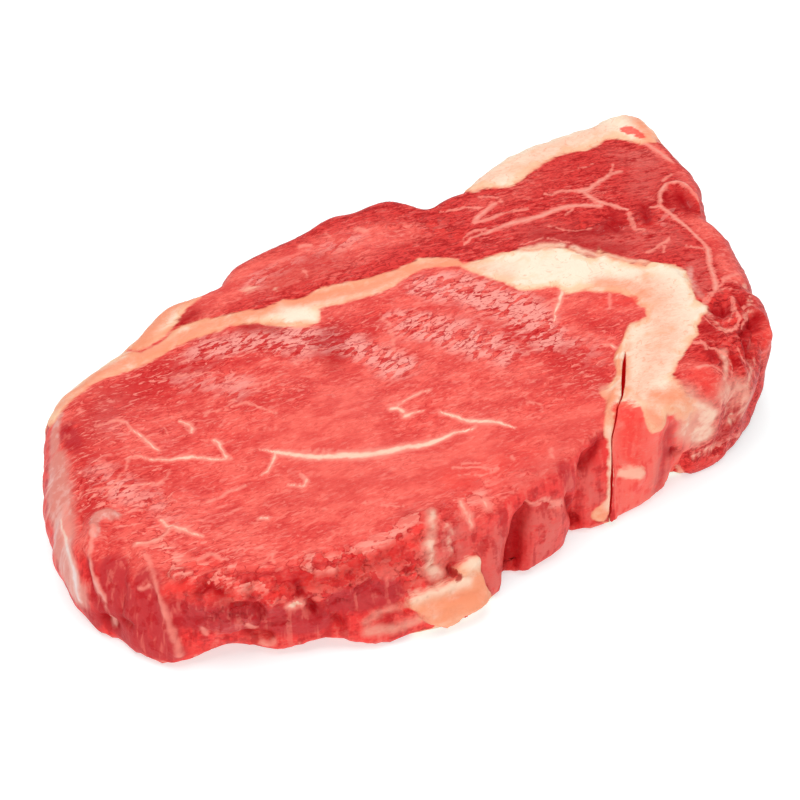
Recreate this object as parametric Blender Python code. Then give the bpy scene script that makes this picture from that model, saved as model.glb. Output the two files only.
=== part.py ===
"""Raw boneless ribeye steak: one thick slice across the rib muscles, lying on its lower cut face.

The slice is lofted from its rim outline, given its relief, and cut through along its fat seams into the
muscles and fats that it is made of. X runs along the slice, Y across it, Z up; the origin is under its
middle. Sizes and places below are millimetres, and the finished meshes are scaled to metres.
"""

import math

import bmesh
import bpy
import numpy as np
from mathutils import Matrix, Vector, noise

MM = 0.001

# Driving sizes
SLICE_LENGTH = 188.0
SEAM_GAP = 0.3
CRACK_HALF_WIDTH = (0.2, 0.45)
LOFT_HEIGHT = 24.0
LOFT_LEVELS = (0, 0.02, 0.06, 0.12, 0.22, 0.34, 0.46, 0.58, 0.7, 0.8, 0.88, 0.94, 0.98, 1.0)
FOOT_ROUND = 1.3

# How finely it is made
RIM_STEP = 1.3
SEAM_STEP = 2.6
VOXEL = 1.15
SURFACE_TRIANGLES = 6300
FLAT_BELOW = 0.45
SAME_PLACE = 0.004
SHARP_ANGLE = 50

# Thickness of the slice along its length: (x, thickness)
THICKNESS = ((-95, 20.0), (-60, 20.5), (-20, 23.5), (15, 26.5), (45, 27.5), (95, 26.0))

# Rim of the upper cut face, anticlockwise seen from above, from the top of the rounded left end
RIM = (
    (-76.6, 29.5), (-82, 12), (-86.8, -2.5), (-88.4, -10), (-84.9, -21), (-82, -27), (-78, -32), (-72, -36),
    (-58, -41.5), (-42, -45), (-26, -46), (-14, -47.2), (4, -46), (14, -43.5), (18, -42.5),
    (28, -44.5), (40, -43.5), (47, -43), (54, -41), (60, -38.5), (66, -34.5), (70.5, -30), (74, -24),
    (76, -15.5), (80.3, -5), (83, 6), (84.8, 11.4), (91, 21.2), (92.9, 36), (93.6, 48), (92, 51.2),
    (88, 51.6), (80, 50.8), (72, 51.3), (62, 51.2), (54, 49.6), (46, 47.6), (38.5, 43.7), (34, 44.4),
    (29, 44), (25, 48.1), (22.5, 51.4), (18.5, 52.6), (12.5, 52.2), (7, 54), (-5, 52.1),
    (-20, 51.7), (-26.5, 47.2), (-32, 47.8), (-38, 49.2), (-42, 48), (-52, 42.4), (-63, 38.7), (-73.3, 34.6),
)

# How the side wall stands at places along the rim:
# (rim x, rim y, foot set out by, belly at mid height, rounding of the upper edge)
WALL = (
    (-76.6, 29.5, 1.0, 3.0, 5.0),
    (-82, 12, 3.0, 4.8, 6.0),
    (-86, -1, 3.0, 5.2, 6.0),
    (-88, -10, 3.2, 2.6, 5.0),
    (-86, -17, 4.6, 1.4, 4.5),
    (-82, -27, 3.4, 1.0, 4.0),
    (-78, -32, 1.0, 1.2, 3.0),
    (-72, -36, -0.5, 1.4, 3.0),
    (-65, -39.5, -0.8, 1.0, 3.0),
    (-58, -41.5, 1.0, 0.6, 3.0),
    (-50, -43.5, 3.2, 0.2, 3.0),
    (-42, -45, 5.0, 0.0, 3.2),
    (-34, -45, 6.6, 0.0, 3.4),
    (-26, -46, 7.6, 0.0, 3.6),
    (-17, -47, 4.4, 0.2, 3.6),
    (-10, -47, 1.2, 0.6, 3.6),
    (4, -46, 1.2, 0.8, 3.4),
    (9, -45, 0.4, 0.5, 3.0),
    (16, -43, 4.4, 0.0, 2.4),
    (20, -43, 3.2, 0.2, 2.4),
    (28, -44.5, 1.4, 0.6, 3.4),
    (34, -44, -0.6, 0.8, 4.0),
    (47, -43, 1.2, 0.8, 5.0),
    (54, -41, 0.2, 1.0, 6.0),
    (66, -34.5, -0.8, 1.0, 7.0),
    (73, -23, -2.0, 1.0, 6.0),
    (82, 2, -1.0, 1.2, 4.5),
    (91, 28, -0.5, 1.0, 4.0),
    (92, 51.2, 0.5, 0.4, 2.2),
    (62, 51.2, 0.5, 0.5, 2.2),
    (34, 43.6, 1.0, 0.6, 2.6),
    (7, 53.5, 0.5, 1.0, 3.0),
    (-32, 47.8, 0.8, 1.0, 3.0),
    (-56, 40.5, 1.0, 1.6, 4.0),
)

# Edge of the round main muscle, from outside the left end, along the seam and out at the front
EYE_EDGE = (
    (-96, 24), (-78, 26), (-72, 29.5), (-65, 33.5), (-60, 34), (-55, 33), (-47, 34.2), (-40, 35),
    (-35, 34.3), (-29, 31), (-24, 27), (-18, 22.3), (-15.5, 23), (-13.5, 25.5), (-10, 25),
    (-3, 22.5), (3, 23), (14, 24.2), (18, 22.3), (20.7, 19.5), (25.5, 5.5), (29, 3), (33, 1.5),
    (39, -3.5), (45, -10.5), (45.5, -14.5), (44.5, -18), (37, -21.5), (29.5, -27), (22.5, -33.8),
    (17.8, -38.8), (15.6, -41.6), (15, -44.5), (11, -55), (8, -62),
)

# Edge of the cap muscle, from outside the back, along the seam and out at the right front
CAP_EDGE = (
    (-28, 64), (-34, 48), (-39.3, 42.3), (-33, 40), (-22, 34.2), (-12.5, 32), (-8.5, 31.5),
    (-5, 29.6), (5, 27), (15, 26.8), (18.5, 25), (21, 22.5), (23.5, 21), (36, 18.3), (42, 17.5),
    (46, 15.5), (51, 7.5), (60.5, -7), (60.3, -13), (57, -24), (46.5, -32), (37.8, -38.8),
    (38.8, -41.3), (40.3, -44), (42, -62),
)

# Where the seam has opened: from its closed end out through the front wall
CRACK_LINE = (
    (32, -27.6), (28.6, -31.4), (25, -35.6), (22, -39), (19.4, -41.6), (18, -44.5), (16.5, -50), (15, -60),
)

# Inner edges of the fat on the back, the strip of rib meat and the scrap of fat on the front wall
BACK_FAT_EDGE = (
    (36.5, 54), (39.3, 41.8), (43, 39.8), (48, 39), (60, 41.3), (68, 42), (74, 41.3), (79, 42.8),
    (83, 42.3), (87.5, 34), (92, 31.5), (104, 29),
)
RIB_MEAT_EDGE = (
    (14, -64), (16.6, -50), (18.3, -44.3), (20, -41.4), (23.5, -39.8), (28, -39.6), (32, -39.2),
    (34.6, -39.6), (35.4, -42), (35, -46), (35.6, -52), (37, -64),
)
EDGE_FAT_EDGE = (
    (-42, -64), (-39, -52.5), (-37.6, -49), (-34, -47.4), (-22, -46.6), (-19, -47.6), (-17.4, -50),
    (-15, -64),
)

# Upper sides of the cut-out pieces: (x, height there, rise along x)
ABOVE_ALL = (0, 36.0, 0)
RIB_MEAT_TOP = (18, 27.0, -0.78)
EDGE_FAT_TOP = (-38, 8.5, 0.32)

# How the seams lean and sway between the two cut faces, behind the front wall
SEAM_LEAN = (2.6, -2.0)
SEAM_SWAY = 0.9
SWAY_LENGTH = 11
LEAN_FROM_Y, LEAN_FULL_Y = -40, -22
SEAM_LEVELS = 5
UNDER_FLOOR = -4.0
FAR_LEFT, FAR_RIGHT, FAR_FRONT, FAR_BACK = -120, 120, -84, 84

# Clefts in the side wall: (x, y, half width, depth, from height, to height, slant along the wall)
CLEFTS = (
    (-88, -21, 2.6, 1.5, -6, 9, 0.15),
    (-79, -31, 1.6, 1.2, 4, 22, -0.1),
    (-66, -39, 2.4, 1.6, 0, 11, 0.0),
    (-52, -44, 1.4, 1.2, 2, 15, 0.2),
    (-10, -46.5, 1.9, 5.6, -6, 19, 0.25),
    (8, -45, 2.2, 4.4, -6, 24, 0.2),
    (29.6, -44.5, 1.3, 1.5, -6, 22, 0.1),
    (36.8, -44, 1.9, 4.0, -6, 10, 0.1),
    (48, -43, 2.0, 1.4, 3, 20, 0.3),
    (61, -38, 2.2, 1.6, 4, 22, 0.3),
    (72.5, -21.5, 2.2, 2.2, -6, 30, 0.0),
    (81, 5.5, 2.2, 1.8, -6, 30, 0.0),
    (27.5, 43.5, 2.4, 1.4, -6, 30, 0.0),
    (2, 52.5, 1.8, 1.2, 0, 24, 0.1),
    (-18, 52, 1.6, 1.0, 0, 20, 0.1),
    (-57, 40, 2.4, 1.2, 0, 18, 0.0),
)
CLEFT_FADE = 3.0
CLEFT_REACH = 24

# Rounded swellings: (x, y, z, radius, height)
LUMPS = (
    (-87, -9, 17, 4.5, 1.5),
    (-82, -29, 3, 4.5, 1.6),
    (-64, -38.5, 2, 3.0, 1.2),
    (-45, -47, 3, 6.0, 1.0),
    (-34, -50, 5, 5.0, 1.2),
    (-25, -51, 6, 5.5, 1.4),
    (-3, -47, 10, 6.0, 1.2),
    (22.5, -45.5, 9.5, 2.4, 1.3),
    (26, -43.5, 22, 3.2, 1.5),
    (33, -44.5, 11, 3.5, 1.0),
    (43, -42, 22, 4.0, 1.6),
    (54, -40, 17, 5.0, 1.6),
    (66, -32, 20, 4.5, 0.7),
    (76, -12, 18, 5.0, 1.2),
    (68, -38, 8, 5.0, 1.0),
    (84, 16, 25, 5.0, 1.2),
    (90, 44, 25, 4.0, 1.0),
    (36, 10, 27, 12.0, 0.8),
    (50, -20, 27, 9.0, 0.7),
    (-10, 42, 24, 12.0, 0.8),
)

# Where the lower edge lifts off the surface it lies on: (x, y, radius, rise)
LIFTS = (
    (-72, -35, 6.5, 3.2),
    (-54, -44, 5.5, 3.0),
    (-93, -2, 5.0, 1.4),
    (-37, -51, 4.0, 0.8),
    (35, -43, 4.0, 1.5),
)
LIFT_FADE_HEIGHT = 13.0

# The torn front rim, where the ends of the meat bundles stand out
TORN_FROM_X, TORN_TO_X, TORN_FADE = -84, -8, 6
TORN_FRONT = ((-72, -16), (-68, -27))
TORN_DEPTH_Y = 9
TORN_UPPER_SHARE = (0.25, 0.6)
BUNDLE_SIZE = 5.2
BUNDLE_HEIGHT = 1.15

# Soft unevenness all over, and finer unevenness on the walls: (size, height)
BROAD_WAVE = (17.0, 0.55)
SMALL_WAVE = (6.8, 0.19)
WALL_WAVE = (3.6, 0.35)
WAVE_PLACE = Vector((3.1, 7.7, 0.4))

# Colour and roughness of each piece
FINISHES = {
    "eye_muscle": ((0.60, 0.075, 0.07, 1.0), 0.34),
    "cap_muscle": ((0.42, 0.045, 0.05, 1.0), 0.32),
    "rib_meat": ((0.56, 0.06, 0.05, 1.0), 0.28),
    "seam_fat": ((0.86, 0.69, 0.53, 1.0), 0.42),
    "back_fat": ((0.84, 0.60, 0.42, 1.0), 0.45),
    "edge_fat": ((0.85, 0.52, 0.33, 1.0), 0.40),
}


def clear_scene():
    for obj in list(bpy.data.objects):
        bpy.data.objects.remove(obj)


def ramp(value, start, end):
    """0 at the start, 1 at the end, and even between them."""
    return min(max((value - start) / (end - start), 0.0), 1.0)


def smooth_line(points, step, closed=False):
    """A centripetal Catmull-Rom curve through the points, as points a step apart."""
    points = [Vector(p) for p in points]
    if closed:
        ring = [points[-1], *points, points[0], points[1]]
    else:
        ring = [2 * points[0] - points[1], *points, 2 * points[-1] - points[-2]]
    dense = []
    for a, b, c, d in zip(ring, ring[1:], ring[2:], ring[3:]):
        t1 = (b - a).length ** 0.5
        t2 = t1 + (c - b).length ** 0.5
        t3 = t2 + (d - c).length ** 0.5
        for t in np.linspace(t1, t2, 16, endpoint=False):
            ab = a.lerp(b, t / t1)
            bc = b.lerp(c, (t - t1) / (t2 - t1))
            cd = c.lerp(d, (t - t2) / (t3 - t2))
            abc = ab.lerp(bc, t / t2)
            bcd = bc.lerp(cd, (t - t1) / (t3 - t1))
            dense.append(abc.lerp(bcd, (t - t1) / (t2 - t1)))
    dense.append(points[0] if closed else points[-1])
    dense = np.array([tuple(p) for p in dense])
    along = np.concatenate([[0], np.cumsum(np.linalg.norm(np.diff(dense, axis=0), axis=1))])
    places = np.linspace(0, along[-1], round(along[-1] / step) + 1)
    if closed:
        places = places[:-1]
    return np.stack([np.interp(places, along, dense[:, k]) for k in (0, 1)], axis=1)


def outward(line):
    """Unit normals of a closed anticlockwise line, evened out over a few neighbours."""
    along = np.roll(line, -2, axis=0) - np.roll(line, 2, axis=0)
    normals = np.stack([along[:, 1], -along[:, 0]], axis=1)
    normals = sum(np.roll(normals, k, axis=0) for k in range(-2, 3))
    return normals / np.linalg.norm(normals, axis=1, keepdims=True)


def leftward(line):
    """Unit normals of an open line, to the left of its direction."""
    along = np.gradient(line, axis=0)
    normals = np.stack([-along[:, 1], along[:, 0]], axis=1)
    return normals / np.linalg.norm(normals, axis=1, keepdims=True)


def thickness_at(x):
    for (x0, low), (x1, high) in zip(THICKNESS, THICKNESS[1:]):
        if x <= x1:
            break
    share = ramp(x, x0, x1)
    return low + (high - low) * share * share * (3 - 2 * share)


def lofted(bm, rings):
    """A closed body through closed rings of points: each is bridged to the next, and the ends are filled."""
    loops = []
    for ring in rings:
        loop = [bm.verts.new(p) for p in ring]
        loops.append([bm.edges.new(pair) for pair in zip(loop, loop[1:] + loop[:1])])
    for lower, upper in zip(loops, loops[1:]):
        bmesh.ops.bridge_loops(bm, edges=lower + upper)
    for end in (loops[0], loops[-1]):
        bmesh.ops.contextual_create(bm, geom=end)
    bmesh.ops.recalc_face_normals(bm, faces=bm.faces)


def object_from(bm, name):
    mesh = bpy.data.meshes.new(name)
    bm.to_mesh(mesh)
    bm.free()
    obj = bpy.data.objects.new(name, mesh)
    bpy.context.scene.collection.objects.link(obj)
    return obj


def apply_modifiers(obj):
    """Keeps the shape that the object's modifiers give, as its own mesh."""
    bpy.context.view_layer.update()
    graph = bpy.context.evaluated_depsgraph_get()
    made = bpy.data.meshes.new_from_object(obj.evaluated_get(graph))
    obj.modifiers.clear()
    obj.data = made
    made.name = obj.name


def wall_values(rim):
    """Foot, belly and rounding at each rim point, eased between the places where they are given."""
    given = []
    for x, y, *values in WALL:
        nearest = int(np.argmin(np.hypot(rim[:, 0] - x, rim[:, 1] - y)))
        given.append((nearest, values))
    given.sort()
    count = len(rim)
    places = [given[-1][0] - count, *(g[0] for g in given), given[0][0] + count]
    rows = [given[-1][1], *(g[1] for g in given), given[0][1]]
    return [np.interp(np.arange(count), places, [row[k] for row in rows]) for k in range(3)]


def wall_offset(level, foot, belly, rounding):
    """How far the wall stands outside the rim line at a level from 0, the floor, to 1, the upper face."""
    z = level * LOFT_HEIGHT
    over = np.clip((z - (LOFT_HEIGHT - rounding)) / rounding, 0, 1)
    under = max(0.0, 1 - z / FOOT_ROUND)
    flare = foot * (1 - level) ** 1.3
    swell = belly * 4 * level * (1 - level)
    upper_inset = rounding * (1 - np.sqrt(1 - over**2))
    lower_inset = FOOT_ROUND * (1 - math.sqrt(1 - under**2))
    return flare + swell - upper_inset - lower_inset


def lofted_slice(rim, normals):
    """The whole slice at an even thickness, with its walls and rounded edges, as an even mesh."""
    wall = wall_values(rim)
    rings = []
    for level in LOFT_LEVELS:
        places = rim + normals * wall_offset(level, *wall)[:, None]
        rings.append([(x, y, level * LOFT_HEIGHT) for x, y in places])
    bm = bmesh.new()
    lofted(bm, rings)
    body = object_from(bm, "slice")
    remesh = body.modifiers.new("even_faces", "REMESH")
    remesh.mode = "VOXEL"
    remesh.voxel_size = VOXEL
    apply_modifiers(body)
    return body


def wave(point, size, height):
    return height * noise.noise((point + WAVE_PLACE) / size)


def bundle_relief(point):
    """Uneven ends of meat bundles: raised cells with creases between them."""
    nearest, second = noise.voronoi(point / BUNDLE_SIZE)[0][:2]
    return BUNDLE_HEIGHT * (min(1.0, 1.6 * (second - nearest)) - 0.45)


def torn_share(point):
    """How torn the meat is: fully along the front rim, and not on the flat faces or at the back."""
    (corner_x, corner_y), (front_x, front_y) = TORN_FRONT
    behind = corner_y + (front_y - corner_y) * ramp(point.x, corner_x, front_x)
    from_left = ramp(point.x, TORN_FROM_X, TORN_FROM_X + TORN_FADE)
    to_right = ramp(point.x, TORN_TO_X, TORN_TO_X - TORN_FADE)
    to_front = ramp(point.y, behind, behind - TORN_DEPTH_Y)
    upper = ramp(point.z / thickness_at(point.x), *TORN_UPPER_SHARE)
    return from_left * to_right * to_front * upper


def cleft_moves(point, clefts):
    """How far the clefts near a point press it inwards."""
    move = Vector()
    for (x, y, half, depth, low, high, slant), out in clefts:
        apart = point - Vector((x, y, point.z))
        if apart.length > CLEFT_REACH:
            continue
        beside = Vector((-out.y, out.x, 0)).dot(apart) - slant * (point.z - LOFT_HEIGHT / 2)
        inside = max(0.0, -apart.dot(out)) / (1.3 * depth)
        window = ramp(point.z, low, low + CLEFT_FADE) * ramp(point.z, high, high - CLEFT_FADE)
        move -= out * depth * window * math.exp(-((beside / half) ** 2) - inside**2)
    return move


def relief(point, normal, clefts):
    """How far, and which way, a point of the plain slice moves to get its relief."""
    rise = wave(point, *BROAD_WAVE) + wave(point, *SMALL_WAVE)
    on_wall = max(0.0, 1 - 1.1 * abs(normal.z))
    rise += on_wall * wave(point, *WALL_WAVE)
    rise += torn_share(point) * bundle_relief(point)
    for x, y, z, radius, height in LUMPS:
        away = (point - Vector((x, y, z))).length / radius
        rise += height * math.exp(-(away**2))
    move = normal * rise + cleft_moves(point, clefts)
    move.z *= min(1.0, point.z / 2)
    return move


def lifted(point):
    """How much higher the lower edge hangs at a point than on a flat underside."""
    rise = 0.0
    for x, y, radius, height in LIFTS:
        away = math.hypot(point.x - x, point.y - y) / radius
        rise += height * math.exp(-(away**2))
    return rise * ramp(point.z, LIFT_FADE_HEIGHT, 0)


def flatten_underside(bm):
    for vert in bm.verts:
        if vert.co.z < FLAT_BELOW:
            vert.co.z = 0


def shape_slice(body, rim, normals):
    """Gives the slice its thickness and relief, keeps its underside flat, and thins out its faces."""
    clefts = []
    for cleft in CLEFTS:
        nearest = int(np.argmin(np.hypot(rim[:, 0] - cleft[0], rim[:, 1] - cleft[1])))
        clefts.append((cleft, Vector((*normals[nearest], 0))))
    bm = bmesh.new()
    bm.from_mesh(body.data)
    for vert in bm.verts:
        vert.co.z *= thickness_at(vert.co.x) / LOFT_HEIGHT
    bm.normal_update()
    moves = [relief(vert.co, vert.normal, clefts) for vert in bm.verts]
    for vert, move in zip(bm.verts, moves):
        vert.co += move
        vert.co.z += lifted(vert.co)
    flatten_underside(bm)
    bm.to_mesh(body.data)
    bm.free()
    thin = body.modifiers.new("fewer_faces", "DECIMATE")
    thin.ratio = SURFACE_TRIANGLES / (2 * len(body.data.polygons))
    apply_modifiers(body)
    bm = bmesh.new()
    bm.from_mesh(body.data)
    flatten_underside(bm)
    bmesh.ops.triangulate(bm, faces=bm.faces)
    bm.to_mesh(body.data)
    bm.free()


def bent(x, y, z):
    """Where a seam that starts at x, y on the upper face has got to at height z."""
    depth = (1 - z / LOFT_HEIGHT) * ramp(y, LEAN_FROM_Y, LEAN_FULL_Y)
    sway = SEAM_SWAY * math.sin(x / SWAY_LENGTH) * math.sin(math.pi * depth)
    return x + SEAM_LEAN[0] * depth + sway, y + SEAM_LEAN[1] * depth - sway, z


def upright_cutter(name, *lines, top=ABOVE_ALL):
    """A closed body standing on the lines joined end to end, bent as the seams are."""
    top_x, top_height, rise = top
    outline = np.concatenate(lines)
    rings = []
    for share in np.linspace(0, 1, SEAM_LEVELS):
        heights = UNDER_FLOOR + (top_height + rise * (outline[:, 0] - top_x) - UNDER_FLOOR) * share
        rings.append([bent(x, y, z) for (x, y), z in zip(outline, heights)])
    bm = bmesh.new()
    lofted(bm, rings)
    return object_from(bm, name)


def seam_cutters():
    """The bodies that cut the slice: each piece's own side of its seam, and what it clears for others."""
    eye = smooth_line(EYE_EDGE, SEAM_STEP)
    cap = smooth_line(CAP_EDGE, SEAM_STEP)
    crack = smooth_line(CRACK_LINE, SEAM_STEP)
    to_eye = leftward(eye) * SEAM_GAP / 2
    to_cap = leftward(cap) * SEAM_GAP / 2

    left_back = [(FAR_LEFT, eye[0][1])]
    left_front = [(eye[-1][0], FAR_FRONT), (FAR_LEFT, FAR_FRONT)]
    right_front = [(cap[-1][0], FAR_FRONT), (FAR_RIGHT, FAR_FRONT)]
    right_back = [(FAR_RIGHT, FAR_BACK), (cap[0][0], FAR_BACK)]
    seam_front = [left_front[0], right_front[0]]
    seam_back = [right_back[-1], (FAR_LEFT, FAR_BACK)]
    widths = np.interp(np.linspace(0, 1, len(crack)), (0, 0.45), CRACK_HALF_WIDTH)[:, None]
    crack_sides = leftward(crack) * widths
    cutters = {
        "eye": upright_cutter("eye_side", eye - to_eye, left_front, left_back),
        "cap": upright_cutter("cap_side", cap + to_cap, right_front, right_back),
        "seam": upright_cutter(
            "seam_side", eye + to_eye, seam_front, (cap - to_cap)[::-1], seam_back, left_back
        ),
        "crack": upright_cutter("crack", crack + crack_sides, (crack - crack_sides)[::-1]),
    }
    pockets = {
        "back": (BACK_FAT_EDGE, -1, FAR_BACK, ABOVE_ALL),
        "rib": (RIB_MEAT_EDGE, 1, FAR_FRONT, RIB_MEAT_TOP),
        "scrap": (EDGE_FAT_EDGE, 1, FAR_FRONT, EDGE_FAT_TOP),
    }
    for name, (edge, larger, far_y, top) in pockets.items():
        line = smooth_line(edge, SEAM_STEP)
        side = leftward(line) * larger * SEAM_GAP / 2
        corners = [(line[-1][0], far_y), (line[0][0], far_y)]
        raised = (top[0], top[1] + SEAM_GAP, top[2])
        cutters[name] = upright_cutter(name + "_side", line - side, corners, top=top)
        cutters["round_" + name] = upright_cutter(name + "_clear", line + side, corners, top=raised)
    return cutters


def cut_piece(body, name, keep, take):
    """A copy of the slice, kept inside each cutter in keep and outside each cutter in take."""
    piece = bpy.data.objects.new(name, body.data.copy())
    bpy.context.scene.collection.objects.link(piece)
    for operation, cutters in (("INTERSECT", keep), ("DIFFERENCE", take)):
        for cutter in cutters:
            modifier = piece.modifiers.new(cutter.name, "BOOLEAN")
            modifier.operation = operation
            modifier.solver = "EXACT"
            modifier.object = cutter
            apply_modifiers(piece)
    cleaned_body(piece)
    return piece


def cleaned_body(obj):
    """Drops the loose scraps that a cut leaves, with doubled and needless points, and closes pinholes."""
    bm = bmesh.new()
    bm.from_mesh(obj.data)
    bmesh.ops.remove_doubles(bm, verts=bm.verts, dist=SAME_PLACE)
    bmesh.ops.dissolve_degenerate(bm, dist=SAME_PLACE, edges=bm.edges)
    bodies = []
    seen = set()
    for start in bm.verts:
        if start in seen:
            continue
        seen.add(start)
        found = [start]
        for vert in found:
            for edge in vert.link_edges:
                other = edge.other_vert(vert)
                if other not in seen:
                    seen.add(other)
                    found.append(other)
        bodies.append(found)
    bodies.sort(key=len)
    loose = [vert for found in bodies[:-1] for vert in found]
    bmesh.ops.delete(bm, geom=loose, context="VERTS")
    needless = [vert for vert in bm.verts if len(vert.link_edges) == 2]
    bmesh.ops.dissolve_verts(bm, verts=needless)
    bmesh.ops.holes_fill(bm, edges=bm.edges)
    bmesh.ops.triangulate(bm, faces=bm.faces)
    bm.to_mesh(obj.data)
    bm.free()


def split_pieces(body):
    """Cuts the slice along its seams into the muscles and fats, a seam gap apart."""
    cutters = seam_cutters()
    eye, cap, seam, crack = (cutters[name] for name in ("eye", "cap", "seam", "crack"))
    back, rib, scrap = (cutters[name] for name in ("back", "rib", "scrap"))
    pieces = [
        cut_piece(body, "eye_muscle", [eye], [cutters["round_scrap"]]),
        cut_piece(body, "cap_muscle", [cap], [cutters["round_back"], cutters["round_rib"]]),
        cut_piece(body, "seam_fat", [seam], [cutters["round_rib"], crack]),
        cut_piece(body, "rib_meat", [rib], [crack]),
        cut_piece(body, "back_fat", [back], []),
        cut_piece(body, "edge_fat", [scrap, eye], []),
    ]
    for helper in (body, *cutters.values()):
        bpy.data.objects.remove(helper)
    return pieces


def surface_material(name):
    colour, roughness = FINISHES[name]
    material = bpy.data.materials.new(name)
    material.use_nodes = True
    shader = material.node_tree.nodes["Principled BSDF"]
    shader.inputs["Base Color"].default_value = colour
    shader.inputs["Roughness"].default_value = roughness
    shader.inputs["Metallic"].default_value = 0.0
    material.diffuse_color = colour
    return material


def finish_pieces(pieces):
    """Centres the slice over the origin, scales it to metres, and gives each piece its material."""
    corners = np.array([vert.co for piece in pieces for vert in piece.data.vertices])
    low, high = corners.min(axis=0), corners.max(axis=0)
    middle = (low + high) / 2
    scale = MM * SLICE_LENGTH / (high[0] - low[0])
    to_metres = Matrix.Scale(scale, 4) @ Matrix.Translation((-middle[0], -middle[1], -low[2]))
    print("slice centred on", middle[:2].round(2), "and scaled by", round(scale / MM, 4))
    for piece in pieces:
        piece.data.transform(to_metres)
        piece.data.materials.clear()
        piece.data.materials.append(surface_material(piece.name))
        piece.data.shade_smooth()
        piece.data.set_sharp_from_angle(angle=math.radians(SHARP_ANGLE))


def main():
    clear_scene()
    rim = smooth_line(RIM, RIM_STEP, closed=True)
    normals = outward(rim)
    body = lofted_slice(rim, normals)
    shape_slice(body, rim, normals)
    finish_pieces(split_pieces(body))


main()
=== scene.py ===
import math

import bmesh
import bpy
import numpy as np
from mathutils import Matrix, Vector, noise
from mathutils.bvhtree import BVHTree


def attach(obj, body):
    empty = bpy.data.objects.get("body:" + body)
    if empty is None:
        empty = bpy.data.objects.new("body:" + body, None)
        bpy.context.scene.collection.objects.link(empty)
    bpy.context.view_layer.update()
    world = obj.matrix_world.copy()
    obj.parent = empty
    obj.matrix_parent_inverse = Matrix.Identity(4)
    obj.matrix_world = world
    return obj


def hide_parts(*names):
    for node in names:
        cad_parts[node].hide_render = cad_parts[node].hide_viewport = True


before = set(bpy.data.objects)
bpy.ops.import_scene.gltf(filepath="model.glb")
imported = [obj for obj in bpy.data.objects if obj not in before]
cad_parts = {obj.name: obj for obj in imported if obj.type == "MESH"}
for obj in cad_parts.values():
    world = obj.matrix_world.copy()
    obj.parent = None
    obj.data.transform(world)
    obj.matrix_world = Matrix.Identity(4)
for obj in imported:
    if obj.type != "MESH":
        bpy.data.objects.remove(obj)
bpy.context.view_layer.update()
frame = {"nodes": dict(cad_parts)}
mm = 0.001
print("frame loaded:", ", ".join(sorted(frame["nodes"])))


# The camera stands where the photograph was taken from

shot = {
    "azimuth": -33,          # degrees; 0 looks along +Y
    "elevation": 40,
    "lens": 100,             # mm on a 36 mm sensor
    "distance": 0.490,
    "target": (-0.0078, 0.0006, 0.012),
    "picture": 800,          # pixels along each side of the photograph
    "pixelsToMm": 4.5,       # about, at the steak
    "upperFace": 24 * mm,    # height of the upper face, for sight lines past its edge
}


def cameraAxes():
    azimuth = math.radians(shot["azimuth"])
    elevation = math.radians(shot["elevation"])
    flat = math.cos(elevation)
    back = Vector((math.sin(azimuth) * flat, -math.cos(azimuth) * flat, math.sin(elevation)))
    right = Vector((math.cos(azimuth), math.sin(azimuth), 0))
    return right, back.cross(right), back


def makeCamera():
    back = cameraAxes()[2]
    camera = bpy.data.objects.new("camera", bpy.data.cameras.new("camera"))
    camera.data.lens = shot["lens"]
    camera.location = Vector(shot["target"]) + back * shot["distance"]
    camera.rotation_euler = (-back).to_track_quat("-Z", "Y").to_euler()
    bpy.context.scene.collection.objects.link(camera)
    bpy.context.scene.camera = camera


def sightLine(pixel):      # where a pixel of the photograph looks from, and which way
    right, up, back = cameraAxes()
    half = shot["picture"] / 2
    reach = shot["lens"] / 36 * shot["picture"]
    way = right * ((pixel[0] - half) / reach) - up * ((pixel[1] - half) / reach) - back
    return Vector(shot["target"]) + back * shot["distance"], way.normalized()


makeCamera()


# Every row of a table is a strength, widths in mm along a line, and the line's x,y on the photograph

def linesIn(table):
    for strength, widths, *numbers in table:
        yield strength, widths, list(zip(numbers[::2], numbers[1::2]))


# The marbling

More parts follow.
